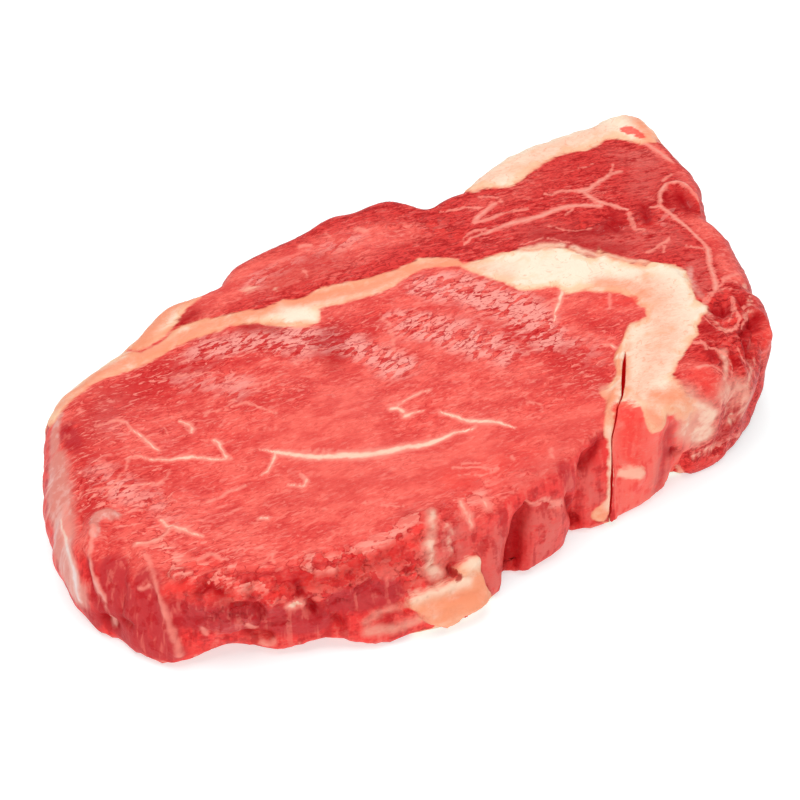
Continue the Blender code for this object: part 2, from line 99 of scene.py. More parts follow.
marbling = {
    "eye": (
        (1, (0.4, 1.2, 1.4, 1.6, 1.9, 1.6, 1.3, 0.9, 0.3), 260,449, 279,452.5, 298,455.5, 319,457,
         340,455.5, 361,455.5, 386,452, 404,447.6, 424,445, 437,441, 453,433, 465,431, 475,428),
        (0.9, (0.8, 0.7, 0.4), 276,452, 273,462, 269,469, 262,475), (0.6, (0.5, 0.3), 425,446, 431,453),
        (0.75, (0.3, 0.6, 0.5), 95,428, 105,424, 116,420.6, 126,421.6, 132,430),
        (0.85, (0.6, 0.9, 0.4), 132,430, 144,438, 152,446, 161,451),
        (0.9, (0.3, 0.6, 0.8, 0.8, 0.7, 0.4), 128,458, 138,455.5, 152,460, 173,459.5, 193,456.5, 214,459.5,
         231,459),
        (0.9, (0.8, 0.6, 1), 215,440, 220,443, 220,448, 227,457),
        (0.85, (0.4, 1, 0.8, 0.4), 178,421, 188,424, 193,428, 191,434),
        (0.55, (0.5, 0.4, 0.5), 128,458, 126,470, 118,478, 106,497),
        (0.75, (0.3, 0.5, 0.3), 81,493, 97,489, 132,486, 161,482),
        (0.5, (0.6, 0.4), 171,471, 165,479, 152,486),
        (0.85, (0.5, 0.9, 0.5), 288,485, 304,486.5, 307,480, 301,474), (0.9, 0.7, 260,518, 268,518.5),
        (0.7, (0.3, 0.5, 0.3), 208,502, 228,492, 246,486), (0.6, 0.5, 224,516, 241,507),
        (0.6, 0.5, 330,531, 340,535.5), (0.55, (0.3, 0.5, 0.3), 291,452.5, 316,450, 347,448),
        (0.6, (0.3, 0.5, 0.3), 361,503, 385,505, 408,506.5), (0.95, (1, 0.9), 391,409, 398,408, 403,412),
        (0.85, (0.5, 0.7, 0.4), 398,405, 411,397, 422.5,392, 431,390),
        (0.95, (1.1, 0.8, 0.4), 405,416, 412,413, 424,411),
        (1, (0.4, 0.8, 1, 1.1, 0.8, 0.3), 440,412, 457,417, 468,421.5, 481,421.5, 494,421.5, 504,424.5,
         514,428),
        (0.55, 0.5, 527,402, 538,403, 546,407), (0.6, 0.7, 512,457, 513,459), (0.55, 0.8, 551,450, 551,456),
        (0.65, 0.4, 463,463.5, 480,463), (0.65, 0.4, 452,468, 480,467.5, 498,468.5),
        (0.65, 0.4, 457,474.5, 488,474.5, 500,469),
        (0.95, (1, 0.8, 0.6, 0.3), 563,290, 560,300, 556,311, 554,321),
        (0.7, (0.6, 0.3), 561,296, 550,302, 540,307), (0.6, (0.7, 0.4), 609.6,294, 610.4,303, 609,310),
        (0.85, (0.5, 0.6), 603,345, 610,344, 614,347, 620,349),
        (0.5, (0.4, 0.8, 0.4), 379.5,314, 390,326, 393,340, 395,352), (0.6, 0.4, 163,379, 190,374, 214,372),
        (0.65, (0.3, 0.5, 0.3), 204,414, 225,409, 246,402, 262,408, 276,414),
        (0.5, 0.5, 232,386, 255,384.5, 272,384), (0.45, 0.5, 262,366, 285,362, 310,359),
        (0.5, 0.4, 187,430, 205,426, 228,424), (0.5, (0.4, 0.4), 95,460, 110,470, 121,468),
        (0.5, (0.4, 0.4), 150,420, 165,428, 170,440), (0.45, (0.3, 0.4), 240,432, 262,428, 285,430),
        (0.75, (0.9, 0.8, 0.6), 137,546, 150,544, 161,540, 170,530),
        (0.85, (0.7, 1.1, 0.6), 161,520, 169,527, 185,530, 203,537),
        (0.6, (0.5, 0.9, 0.5), 198,560, 212,553, 222,560), (0.6, 0.5, 272,553, 274,562),
    ),
    "cap": (
        (0.7, (0.35, 0.5), 738,283, 722,284, 712,292, 704,301),
        (0.6, (0.3, 0.35), 738,290, 724,289, 714,294), (0.55, 0.35, 731,297, 733,312, 729,322),
        (0.6, (0.35, 0.3), 744,303, 747,318, 742,326), (0.6, (0.3, 0.4, 0.3), 703,318, 712,326, 724,331),
        (0.75, (0.35, 0.45, 0.3), 700,340, 706,347, 718,350, 728,357),
        (0.55, (0.35, 0.35), 728,357, 733,368, 730,380), (0.75, 0.8, 300,246, 310,245),
        (0.6, 0.5, 303,270, 309,277), (0.8, 0.9, 357,229, 366,231), (0.55, 0.6, 325,234, 332,240),
        (0.65, (0.3, 0.6, 0.3), 463,238, 474,231, 487,229),
        (0.75, (0.3, 0.5, 0.4), 440,212, 454,210, 466,207, 481,208),
        (0.9, (0.8, 0.9, 0.7, 0.5), 494,204, 486,210, 478,217, 474,222, 484,221, 493,217, 501,214),
        (0.65, 0.5, 478,197, 491,197, 500,198, 502,202), (0.7, 0.5, 501,215, 511,211, 522,210, 528,209),
        (0.9, (0.3, 0.7, 0.8), 464,245, 471,238, 483,234, 497,228.5, 511,223.5),
        (1, (0.8, 0.9, 0.9, 0.8), 511,223.5, 527,220, 542,216, 552,211, 565,207, 581,205.5, 600,206),
        (0.75, 0.5, 573,209, 566,214), (0.85, (0.4, 0.7), 544,194, 551,195, 561,191, 578,191),
        (0.95, (1, 1.2, 0.9), 578,191, 585,191.5, 590,188),
        (0.9, (0.9, 0.7, 0.6), 590,188, 597,183, 611,174, 620,171), (0.65, (0.6, 0.3), 611,174, 613,165),
        (0.95, (0.9, 0.8, 0.8, 0.4), 585,192, 588,196, 597,201, 611,205, 628,210),
        (0.55, 0.4, 578,168, 588,167, 593,164), (0.65, (0.7, 0.6), 629,213, 633,224, 635,230, 644,229),
        (0.85, (0.5, 0.8, 0.7), 651,207, 660,207, 669,212, 676,219),
        (0.95, (0.7, 0.6, 0.8, 0.7), 676,219, 688,228, 699,239, 708,249, 709.6,265, 715,280, 716,290),
        (0.8, (0.55, 0.4), 716,290, 708,301, 703,303),
        (0.9, (0.7, 0.7, 0.9), 660,205, 660,194, 667,185, 677,183, 686,187),
        (0.75, (0.7, 0.4), 686,187, 694,196, 697,203), (0.65, 0.5, 663,181, 672,174),
        (0.65, 0.5, 685,246, 695,247.5, 704,248.5), (0.75, 0.5, 647,253, 658,246, 669,239),
        (0.55, 0.4, 663,253, 667,240), (0.9, (0.5, 0.8, 0.7), 626,137, 636,140, 651,146, 663,155, 672,162),
        (0.75, 0.6, 738,274, 731,276, 723,280),
        (0.75, (0.35, 0.5, 0.35), 732,296, 735,309, 740,320, 735,329, 724,331.5),
        (0.75, 0.5, 694,342, 704,343.5, 706,350), (0.85, (0.55, 0.45), 697,369, 709,366, 720,370, 725,378),
        (0.6, 0.35, 728,342, 739,353, 745,365), (0.6, 0.5, 548,226, 570,231, 590,228),
        (0.55, 0.4, 520,245, 545,238, 570,243),
    ),
    "walls": (
        (0.5, (1, 1, 1.3), 147,556, 156,581, 162,598, 168,618, 176,640, 180,655),
        (0.65, (0.7, 0.8, 0.6), 95,530, 92,545, 93,569, 104,596, 114,626),
        (0.75, (0.9, 1.3, 0.6), 461,503, 468,514, 472,527), (0.75, 1.4, 484,502, 487,507),
        (0.9, 1.6, 291,606, 296,602, 299,603), (0.55, 0.9, 203,629, 206,634),
        # two wide pale streaks down the left wall: silverskin, painted with its sheen
        (0.45, (1.8, 2.4, 2.4, 2), 64,508, 67,530, 71,560, 77,592),
        (0.95, (0.6, 1, 1.4, 1.6, 0.8), 61,520, 65,536, 70,556, 74,576, 79,600),
        (0.6, (0.5, 0.6, 0.5), 196,656, 220,649, 250,645), (0.65, 1.1, 262,641, 268,644, 274,641),
        (0.6, (0.5, 0.6), 300,642, 322,639, 345,643), (0.6, 0.9, 247,624, 256,628),
        (0.7, 0.6, 140,588, 150,586), (0.6, (0.5, 0.5), 528,503, 545,500, 560,502),
    ),
}


# The slice: the CAD muscles and fats grown together into one piece of meat

skinMesh = {
    "grow": 0.3 * mm,        # closes the gaps between the solids
    "voxel": 1.7 * mm,
    "hold": 0.85,            # how closely the smooth skin keeps to the solids
    "flatBelow": 0.6 * mm,
    "fineAbove": 1.2 * mm,   # the mesh is coarse below this height
    "fineFrom": 0.5,         # the mesh is finer still where a zone is stronger than this
}


def objectFrom(bm, name):
    mesh = bpy.data.meshes.new(name)
    bm.to_mesh(mesh)
    bm.free()
    piece = bpy.data.objects.new(name, mesh)
    bpy.context.scene.collection.objects.link(piece)
    return piece


def applyModifiers(piece):
    bpy.context.view_layer.update()
    graph = bpy.context.evaluated_depsgraph_get()
    made = bpy.data.meshes.new_from_object(piece.evaluated_get(graph))
    piece.modifiers.clear()
    piece.data = made


def grownTogether():
    whole = bmesh.new()
    for node in frame["nodes"].values():
        part = bmesh.new()
        part.from_mesh(node.data)
        bmesh.ops.remove_doubles(part, verts=part.verts, dist=1e-6)
        part.normal_update()
        for vert in part.verts:
            vert.co += vert.normal * skinMesh["grow"]
        grown = bpy.data.meshes.new("grown")
        part.to_mesh(grown)
        part.free()
        whole.from_mesh(grown)
        bpy.data.meshes.remove(grown)
    steak = objectFrom(whole, "steak")
    remesh = steak.modifiers.new("oneSkin", "REMESH")
    remesh.mode = "VOXEL"
    remesh.voxel_size = skinMesh["voxel"]
    applyModifiers(steak)
    return steak


def keepLargest(bm):       # a voxel mesh can leave a shut bubble inside
    left = set(bm.verts)
    bodies = []
    while left:
        start = left.pop()
        found = [start]
        for vert in found:
            for edge in vert.link_edges:
                other = edge.other_vert(vert)
                if other in left:
                    left.remove(other)
                    found.append(other)
        bodies.append(found)
    bodies.sort(key=len)
    loose = [vert for body in bodies[:-1] for vert in body]
    bmesh.ops.delete(bm, geom=loose, context="VERTS")


def smoothed(bm, verts, times):
    for turn in range(times):
        bmesh.ops.smooth_vert(
            bm, verts=verts, factor=0.5, use_axis_x=True, use_axis_y=True, use_axis_z=True)


def positions(bm):
    return np.array([vert.co for vert in bm.verts])


def onSurface(tree, pixel):
    start, way = sightLine(pixel)
    hit = tree.ray_cast(start, way)[0]
    if hit is None:        # past the edge: where the sight line meets the height of the upper face
        hit = start + way * ((shot["upperFace"] - start.z) / way.z)
    return hit


def lineOnSurface(tree, pixels, step=0.6 * mm):
    corners = np.array([onSurface(tree, pixel) for pixel in pixels])
    along = np.concatenate([[0], np.cumsum(np.linalg.norm(np.diff(corners, axis=0), axis=1))])
    count = max(2, round(along[-1] / step) + 1)
    places = np.linspace(0, along[-1], count)
    return np.stack([np.interp(places, along, corners[:, k]) for k in range(3)], axis=1)


def nearness(points, line, widths, far=3):      # 1 on the line, falling off to 0 at far widths
    widths = np.atleast_1d(widths)
    widths = np.interp(np.linspace(0, 1, len(line)), np.linspace(0, 1, len(widths)), widths) * mm
    reach = far * widths.max()
    low, high = line.min(axis=0) - reach, line.max(axis=0) + reach
    near = np.nonzero(np.all((points > low) & (points < high), axis=1))[0]
    field = np.zeros(len(points))
    if len(near) == 0:
        return field
    closest = np.full(len(near), float(far**2))
    chosen = points[near]
    for start, end, width in zip(line[:-1], line[1:], widths):
        run = end - start
        share = np.clip((chosen - start) @ run / max(run @ run, 1e-12), 0, 1)
        apart = chosen - (start + share[:, None] * run)
        closest = np.minimum(closest, np.einsum("ij,ij->i", apart, apart) / width**2)
    field[near] = np.exp(-closest)
    return field


def veinLines(tree):
    rows = [row for family in marbling.values() for row in linesIn(family)]
    return [(strength, widths, lineOnSurface(tree, pixels)) for strength, widths, pixels in rows]


def strongest(points, lines):      # the strongest of many lines at each point
    field = np.zeros(len(points))
    for strength, widths, line in lines:
        field = np.maximum(field, strength * nearness(points, line, widths))
    return field


def veinField(points, veins, spread=0):
    wide = [spread or np.array(widths) * surface["veinWidth"] for strength, widths, line in veins]
    return strongest(points, [(vein[0], width, vein[2]) for vein, width in zip(veins, wide)])


def subdivided(bm, edges, cuts=1):
    bmesh.ops.subdivide_edges(bm, edges=edges, cuts=cuts, use_grid_fill=True)


# Grooves (below zero) and ridges: here a row's strength is its height in mm

carvings = (
    (-0.8, (0.5, 0.7, 0.5), 256,602, 262,610, 264,618), (-0.9, 0.7, 246,632, 258,634, 270,636),
    (-0.9, (0.6, 0.8), 248,586, 251,597), (-0.9, (0.6, 0.7), 298,584, 301,594),
    (-0.8, (0.6, 0.7), 308,602, 314,610), (-0.9, 0.8, 336,617, 342,627), (-1, 0.7, 401,603, 407,611),
    (-1.3, 0.8, 451,569, 454,576), (-0.8, 0.7, 436,586, 446,580, 454,575),
    (-1.6, (0.6, 1.1, 1.4, 1.4), 527,502, 519,514, 513,535, 509,566), (-0.9, (0.7, 1), 574,508, 576,524),
    (-0.9, (0.8, 1.2, 0.8), 601,443, 592,453, 581,465), (-1.2, 0.9, 673,450, 677,455),
    (-1, 0.8, 673,466, 677,470), (-0.8, 0.6, 731,417, 735,421), (-0.4, 0.5, 649,308, 650,314, 648,322),
    (-0.35, 0.4, 652,274, 654,283, 655,292), (-0.3, 0.5, 640,268, 652,276),
    (-0.3, 0.5, 593,326, 603,322, 612,317), (-1.3, 1, 104,619, 114,624), (-0.9, 0.8, 123,620, 131,625),
    (-0.8, 0.8, 126,560, 124,590, 120,610), (-0.7, 0.8, 80,520, 84,560, 96,600),
    (-0.6, 0.7, 112,520, 106,545, 108,580),
    (0.7, 0.8, 630,326, 624,342, 617.5,357, 618,372, 619,384, 612,401, 606,416),
    (0.6, 0.9, 606,416, 608,440, 610,470, 610,494, 607,512),
    (-1.6, (1.2, 1.4, 1), 570,497, 572,508, 574,522), (-0.8, 1.4, 684,196, 688,206),
    (-0.5, 0.8, 605,215, 618,222, 630,224), (-0.5, 0.7, 645,206, 646,222),
    (0.7, (0.9, 0.8), 661,205, 660,194, 667,185, 677,183, 686,187, 695,196, 698,212),
    (1.2, 1.8, 759,316, 766,330, 764,346), (-0.8, 0.7, 750,312, 755,330, 752,350),
    (-0.5, 0.6, 700,355, 712,362), (0.6, 1.4, 690,372, 705,368, 718,376),
    (0.5, 1, 700,315, 712,330, 706,345), (-0.5, 0.6, 726,300, 722,320, 728,340),
    (-0.6, (0.6, 0.8), 200,601, 225,603, 250,602, 262,612), (0.9, 2, 643,419, 651,420, 657,423),
    (0.8, (1.6, 2, 1.4), 619,470, 629,471, 641,473), (0.9, (1, 1.4, 1), 93,530, 96,517, 108,512, 116,518),
    (0.6, (1.2, 1), 93,530, 92,560, 98,590), (0.5, 0.8, 137,546, 150,544, 161,540, 173,528),
    (0.6, 1, 137,547, 146,560, 156,581, 161,593, 172,636), (0.8, 1.4, 172,634, 178,652),
    (0.5, 1, 198,652, 222,650, 250,643), (0.6, (1, 1.2), 260,641, 272,642),
    (0.5, 1.2, 432,513, 427,550, 425,580), (0.5, 1.1, 640,262, 668,268, 684,284),
    (0.7, 1.1, 410,596, 436,588, 456,579, 462,566, 474,557), (-0.5, 0.8, 424,602, 450,596, 476,589),
    (0.5, 1.2, 430,616, 455,610, 480,597), (-1.3, 0.9, 742,334, 751,325, 757,318),
    (-1.1, 0.9, 714,309, 722,313, 727,308), (-1, 0.8, 740,298, 746,309), (-1, 0.8, 742,344, 749,358),
    (0.7, 1.1, 727,350, 738,361, 744,376), (0.6, 1.3, 721,336, 734,342, 742,350),
)

# Outlines of the fat, as x,y on the photograph
fatOutlines = {
    "seamAndKernel": (
        50,428, 60,414, 70,402, 84,391, 96,382, 108,377, 120,374, 133,369, 150,362, 160,356, 170,350,
        180,345, 190,340, 200,336, 210,333.5, 220,331, 226,326.5, 238,324.5, 248,325, 258,323, 268,325,
        280,326.5, 300,327.5, 312,325, 318,322, 321,316, 319,309, 330,306, 342,303.5, 355,300, 373,295,
        393,287, 401,281, 410,275, 425,268.5, 436,266.5, 450,266, 461,266.5, 470,271, 480,275, 490,278.5,
        500,281, 510,286, 519,290, 530,290.5, 541,288, 556,287, 561,290, 566,293.5, 574,292, 586,290.5,
        601,292, 620,293, 632,298, 637,304, 645.6,308, 646,316, 640,320.5, 631,323, 627,329, 624,337,
        621,345, 617,352, 613.5,359, 615,367, 616.5,374, 612,381, 604,388, 600,394, 604,399, 607,404,
        603.5,416, 604,430, 607.5,444, 608,470, 606,500, 599,508, 591,514, 593,521, 603,523, 607,517,
        609,505, 610,480, 611.5,455, 614,425, 617,411, 622,407, 630,409, 640,407, 643,416, 646,427,
        652,432.5, 659,430, 664,423, 667,415, 674,416, 682,420, 690,418, 695,410, 694,401, 688,394, 682,388,
        677,380, 673,376, 676,368, 682,357, 688,347, 693,340, 699,335, 698,326, 702,318, 707,313, 709,307,
        703,303, 696,299, 693,290, 691,280, 686,270, 676,265, 665,263, 655,263, 645,265, 636,263, 625,260,
        612,255, 603,250, 598,246, 596,252, 595,257, 588,256, 578,252, 569,248.5, 560,246.5, 553,245.5,
        540,246.5, 525,248.5, 512,250.5, 500,253, 487,257, 475,260, 463,263, 458,259, 450,257.5, 440,257,
        419,258, 410,263, 393,270.5, 373,276.5, 347,282, 330,285, 320,287, 312,292, 305,296, 296,299,
        283,299, 275,303, 266,307, 255,309, 240,311, 225,314.5, 210,318, 200,320, 190,323, 182,325, 172,332,
        163,340.5, 150,348, 141,352.5, 128,351, 112,357, 96,366, 82,377, 68,390, 54,404, 44,420,
    ),
    "backSkin": (
        118,360, 122,348, 134,334, 146,320, 156,305, 168,297, 180,295, 190,290, 198,290, 202,297, 196,302,
        188,307, 182,314, 180,321, 170,330, 162,338.5, 150,346, 141,350.5, 128,350,
    ),
    "backFat": (
        458,190, 466,176, 484,160, 510,145, 547,130, 592,120, 608,108, 622,104, 642,106, 656,120, 661,134,
        656,142, 648,143, 641,144, 632,141.5, 617,139, 606,139.5, 597,146, 587,150, 565,153.5, 547,161,
        534,170, 524,178, 514,185, 500,188, 488,188.5, 474,192,
    ),
    "edgeFlap": (
        405,598, 439,585, 455,575, 453,569, 457,563.5, 465.5,557.5, 473.6,553, 477,556, 479,575, 483,584,
        489,592, 481,602, 463,614, 452,623, 434,625, 423,620, 416,611, 407,607,
    ),
}


# Zones of the surface

zones = {
    "flaky": (
        (0.9, (4, 6, 5), 85,470, 110,495, 160,500), (0.9, 5, 130,520, 180,545, 230,560),
        (0.6, 5, 180,430, 110,430), (0.6, 4, 320,255, 400,225, 450,230), (1, 4, 715,300, 745,330, 720,360),
        (0.8, 3, 585,225, 620,225, 655,215), (0.5, 5, 430,520, 480,495, 520,470),
    ),
    "fresh": (
        (0.9, (7, 8, 7, 5), 200,296, 260,276, 330,252, 400,232), (0.4, 4, 475,205, 520,195, 560,170),
        (0.9, 3.5, 700,222, 720,245, 735,275), (0.7, 2.4, 655,146, 680,172, 694,195),
        (0.9, 2.6, 756,314, 766,330, 764,350), (0.9, 4, 690,372, 705,378, 715,384),
    ),
    "peach": (
        (0.95, 2.4, 60,405, 100,373, 150,354, 200,328, 240,318), (1, 3, 125,350, 145,335, 165,312, 190,300),
        (1, 2.6, 245,314, 275,305, 325,296, 373,286, 410,270, 455,262), (0.5, 6, 650,290, 665,330, 655,360),
        (0.45, 4, 650,370, 640,390), (0.9, 2.4, 655,396, 690,397, 704,406), (0.9, 2.4, 650,414, 657,422),
        (0.4, 3, 472,266, 488,269, 505,272), (0.35, 4, 480,180, 520,165, 560,145, 600,130),
        (0.7, 2.4, 628,114, 640,122, 650,134), (1, 6, 425,608, 450,600, 475,590),
        (0.8, 2.4, 600,283, 630,285, 646,296), (0.9, 2.4, 606,396, 604,412, 608,440, 608,480, 604,515),
    ),
    # wet patches: the shader paints a sheen on the folds of their wet surface and shade between the folds
    "wet": (
        (1, (5, 7, 6), 420,285, 470,290, 520,310, 545,335), (0.9, (5, 6), 400,320, 440,330, 500,350),
        (0.85, 5, 285,335, 350,345, 395,365), (0.5, 6, 560,340, 590,350),
        (0.5, 4, 250,285, 290,262, 350,240), (0.6, 4, 600,230, 650,225, 690,205),
        (0.8, 5, 205,350, 260,340, 300,345), (0.5, 6, 180,375, 240,385),
        (0.55, 5, 100,470, 130,500, 170,510), (0.5, 3, 720,330, 730,300),
    ),
    # dark red marks: bloody spots, and painted shade in the carved grooves and gaps
    "bloodAndShade": (
        (0.9, (2, 2.4), 575,232, 600,232, 618,222), (0.9, 1.6, 612,215, 617,232),
        (0.9, 1.6, 644,206, 647,222), (1, 2.6, 680,196, 687,206), (0.9, 1.4, 664,196, 668,205),
        (0.6, 3, 540,235, 575,243, 620,250), (1, 1.8, 714,309, 722,313, 726,308),
        (1, (1.6, 2, 1.6), 743,334, 751,325, 757,318), (0.9, 1.5, 741,300, 746,306),
        (0.9, 1.5, 743,344, 749,358), (0.9, 1.3, 708,351, 713,359), (0.8, 1.3, 727,357, 735,362),
        (0.7, 1.6, 704,326, 712,334), (0.5, 3, 322,345, 331,330, 333,364),
        (0.7, 2, 248,327, 262,328, 276,330), (0.8, 2, 183,320, 194,314), (0.35, 4, 270,285, 330,260),
        (0.8, 1.4, 259,606, 262,616, 246,633, 270,634), (1, 1.3, 296,582, 301,594),
        (0.9, 1.2, 306,600, 315,612), (0.9, 1, 247,584, 251,597), (0.9, 1, 232,608, 246,602, 262,606),
        (0.8, 1.2, 336,619, 342,625), (0.9, (1.6, 2.4, 2.8), 527,505, 515,535, 512,562),
        (0.9, 1.6, 571,505, 574,522), (1, 0.9, 451,570, 456,577), (0.9, 1.6, 104,619, 114,624),
        (0.7, 1.4, 123,619, 131,624), (0.9, 1.8, 598,446, 583,463), (1, 1.4, 672,452, 679,450),
        (1, (1.3, 1.6, 0.9), 202,590, 212,586, 222,592), (0.4, 2, 300,580, 350,572, 400,550),
        (0.6, 1.6, 384,622, 391,626), (0.6, 1.5, 408,515, 410,518), (0.7, 0.6, 565,241, 567,247),
        (0.6, 2.4, 730,405, 737,420, 722,435),
    ),
    "bright": (
        (0.9, (3.4, 2.6), 624,412, 631,432, 634,455), (0.8, 2, 170,590, 210,588, 250,590, 285,588),
        (0.8, 2.4, 300,585, 350,573, 400,552, 430,530), (0.6, 2, 190,562, 215,566),
        (0.6, 2.6, 630,300, 605,303), (1, 1.5, 625,130, 635,133, 642,136), (0.8, 1.6, 693,190, 698,208),
        (0.7, 2, 760,322, 764,345), (0.7, 2.6, 697,378, 712,386), (0.6, 3, 690,466, 715,462, 735,448),
        (0.5, 4, 455,480, 500,470, 540,450),
    ),
    "deep": (
        (1, (5, 7, 7), 84,436, 112,400, 160,378, 215,352), (0.9, 5, 215,352, 270,342, 320,345),
        (1, 3.4, 322,340, 334,325, 338,352), (0.7, 3.4, 350,330, 372,318, 365,340),
        (0.8, 6, 520,338, 560,352, 592,376), (0.3, 5, 540,395, 570,392), (0.5, 4, 230,400, 300,392),
        (0.8, 3.4, 88,456, 90,490, 92,512), (0.6, 3, 120,470, 140,480, 165,468), (0.5, 3, 590,320, 618,332),
    ),
    "maroon": (
        (1, (3.4, 4.6, 4.2), 114,572, 120,598, 132,624), (1, 3.2, 148,584, 156,612, 164,634),
        (1, (3.2, 3.6, 3.6, 3), 176,614, 215,619, 262,621, 316,622), (0.9, 3, 340,600, 368,596, 390,592),
        (0.8, 1.8, 90,566, 95,590, 104,612), (0.8, 2.2, 84,606, 91,620, 99,636),
        (0.8, 3, 98,592, 118,628, 148,648, 172,652), (0.7, 2.2, 66,428, 74,446),
        (0.5, 2.4, 562,468, 572,488), (0.38, 2.8, 667,432, 670,442, 662,470, 657,485),
        (0.3, 2.4, 200,600, 222,604),
    ),
    "haze": (
        (1, (3.4, 4.2, 3.4), 682,402, 692,412, 708,418), (0.7, 3, 672,392, 690,394),
        (1, 3.6, 686,428, 704,434), (0.6, 3.4, 722,392, 740,386, 748,404),
        (0.7, 1.2, 722,352, 728,364, 724,378), (0.8, (1.6, 1.8, 2.2), 433,514, 429,542, 428,562),
        (0.8, 2.6, 429,566, 438,576), (0.6, (1.6, 1.8, 1.6), 368,632, 396,629, 422,619),
        (0.5, 1.4, 366,622, 378,613, 404,606), (0.9, (0.9, 1.3, 1.2), 522,249, 545,245.5, 562,245),
        (0.9, (1.2, 1.3, 1), 573,247, 584,252, 600,255), (0.8, 1, 605,254, 625,260, 645,263),
        (0.6, 1.6, 604,388, 612,396),
    ),
    "dusky": (
        (1, 4, 452,540, 465,570, 495,590, 500,540), (1, 5, 535,525, 550,520, 545,550),
        (1, 2.6, 668,430, 665,455, 655,485), (0.6, 4, 520,475, 555,455), (0.7, 4, 620,155, 650,165, 640,190),
        (0.6, 5, 540,232, 610,245, 670,240), (0.7, 3, 695,262, 700,285), (0.5, 2.4, 585,500, 590,515),
        (0.9, 3, 586,474, 597,500), (0.5, 4, 112,400, 100,430),
    ),
    "pale": (
        (0.7, 9, 340,410, 360,500, 300,440), (0.8, 9, 420,490, 480,450), (0.5, 5, 530,430, 560,425),
        (0.7, 4, 572,424, 590,408), (0.6, 4, 180,305, 230,285, 280,265, 370,235),
    ),
    # painted highlights on chipped bundle ends, mostly along the rim's top edge
    "chips": (
        (1, 2.2, 152,558, 172,571, 215,570, 235,573, 260,569, 290,565, 330,560),
        (0.7, 1.8, 330,560, 362,549, 387,536, 413,518, 431,511, 482,495),
        (0.8, 2.6, 160,538, 165,556, 185,566), (0.6, 2, 200,580, 240,585, 290,580),
        (0.5, 1.6, 530,500, 560,505), (0.5, 2.4, 690,450, 716,450, 736,436),
    ),
    "membrane": (
        (0.8, (1.4, 2, 2.6), 60,416, 54,434, 54,450),
        (1, (3.4, 4.6, 5, 4.4), 56,462, 58,500, 63,545, 75,592),
        (0.9, (1.2, 1.6), 95,534, 96,520, 104,513, 115,517), (0.5, 1.2, 92,545, 92,569, 104,600, 114,628),
        (0.6, 1.6, 688,268, 692,285, 701,297), (0.6, 1, 654,138, 668,150, 682,166),
    ),
    "stringy": (
        (0.9, 3, 724,398, 738,395, 736,415), (0.7, 2.4, 712,446, 695,456), (0.7, 3, 752,365, 744,392),
        (0.6, 2, 446,530, 452,556), (0.6, 1.4, 745,285, 752,300, 745,318),
        (0.7, 1.2, 703,303, 712,320, 728,331),
    ),
    "orange": (
        (1, 2.4, 130,352, 145,330, 162,312), (0.8, 1, 119,374, 164,351, 223,327, 269,324, 313,323),
        (0.8, 1.3, 130,352, 180,324, 230,313, 290,301, 347,287, 410,266),
        (0.9, 0.9, 628,345, 626,360, 628,385, 625,398),
        (1, 0.9, 628,330, 618,352, 618,372, 619,384, 611,402), (1, 4, 422,606, 445,604, 474,590),
        (0.5, 2, 462,575, 470,565), (0.8, 1.6, 578,525, 594,525), (0.6, 2, 640,122, 648,140),
        (0.6, 1.4, 440,262, 462,264), (0.6, 2.2, 590,515, 604,520), (0.7, 1.6, 640,398, 665,402, 690,396),
        (0.6, 1.6, 604,290, 635,296, 645,303), (0.7, 2, 684,462, 682,470),
        (0.4, 1, 620,250, 645,272, 648,300), (0.7, 1.2, 258,315, 268,312, 276,311),
    ),
    "cream": (
        (0.9, 1.6, 284,309, 300,313, 314,314), (0.7, 1, 609,430, 610,470, 607,506),
        (1, 2, 620,471, 628,470, 638,472), (0.8, 1.4, 679,468, 681,472), (0.7, 2, 246,291, 254,288),
        (0.6, 1.2, 273,288, 276,290), (0.8, (1.6, 1.2), 412,596, 440,588, 462,580),
        (0.8, 1.4, 466,562, 474,560), (0.6, 1.2, 632,404, 638,405), (0.6, 3, 500,268, 550,265, 590,272),
    ),
}


# The opened seam at the front, cut as a narrow wedge

crack = {
    "top": [(625.5, 352), (624.9, 360), (624.2, 370), (623.6, 380), (622.5, 397)],
    "wall": [(617.5, 407), (616.5, 416)],
    "halfWidths": ((0, 0.08), (0.1, 0.4), (0.3, 0.44), (0.42, 0.2), (1, 0.2)),   # share of its length, mm
    "lean": 1.5,                    # mm to the right at the floor
    "leanFrom": 20,                 # mm above the floor
    "sway": 0.15,                   # mm
    "runsOut": 14,                  # mm past the wall
    "reach": (-3, 34),              # mm, from below the floor to above the slice
    "cuts": ((0, 30), (2, 24)),     # axis and number of cuts
    "shutBottom": 20,               # mm above the floor
    "openFrom": 0.35,               # share of its length from which it is open to the floor
}


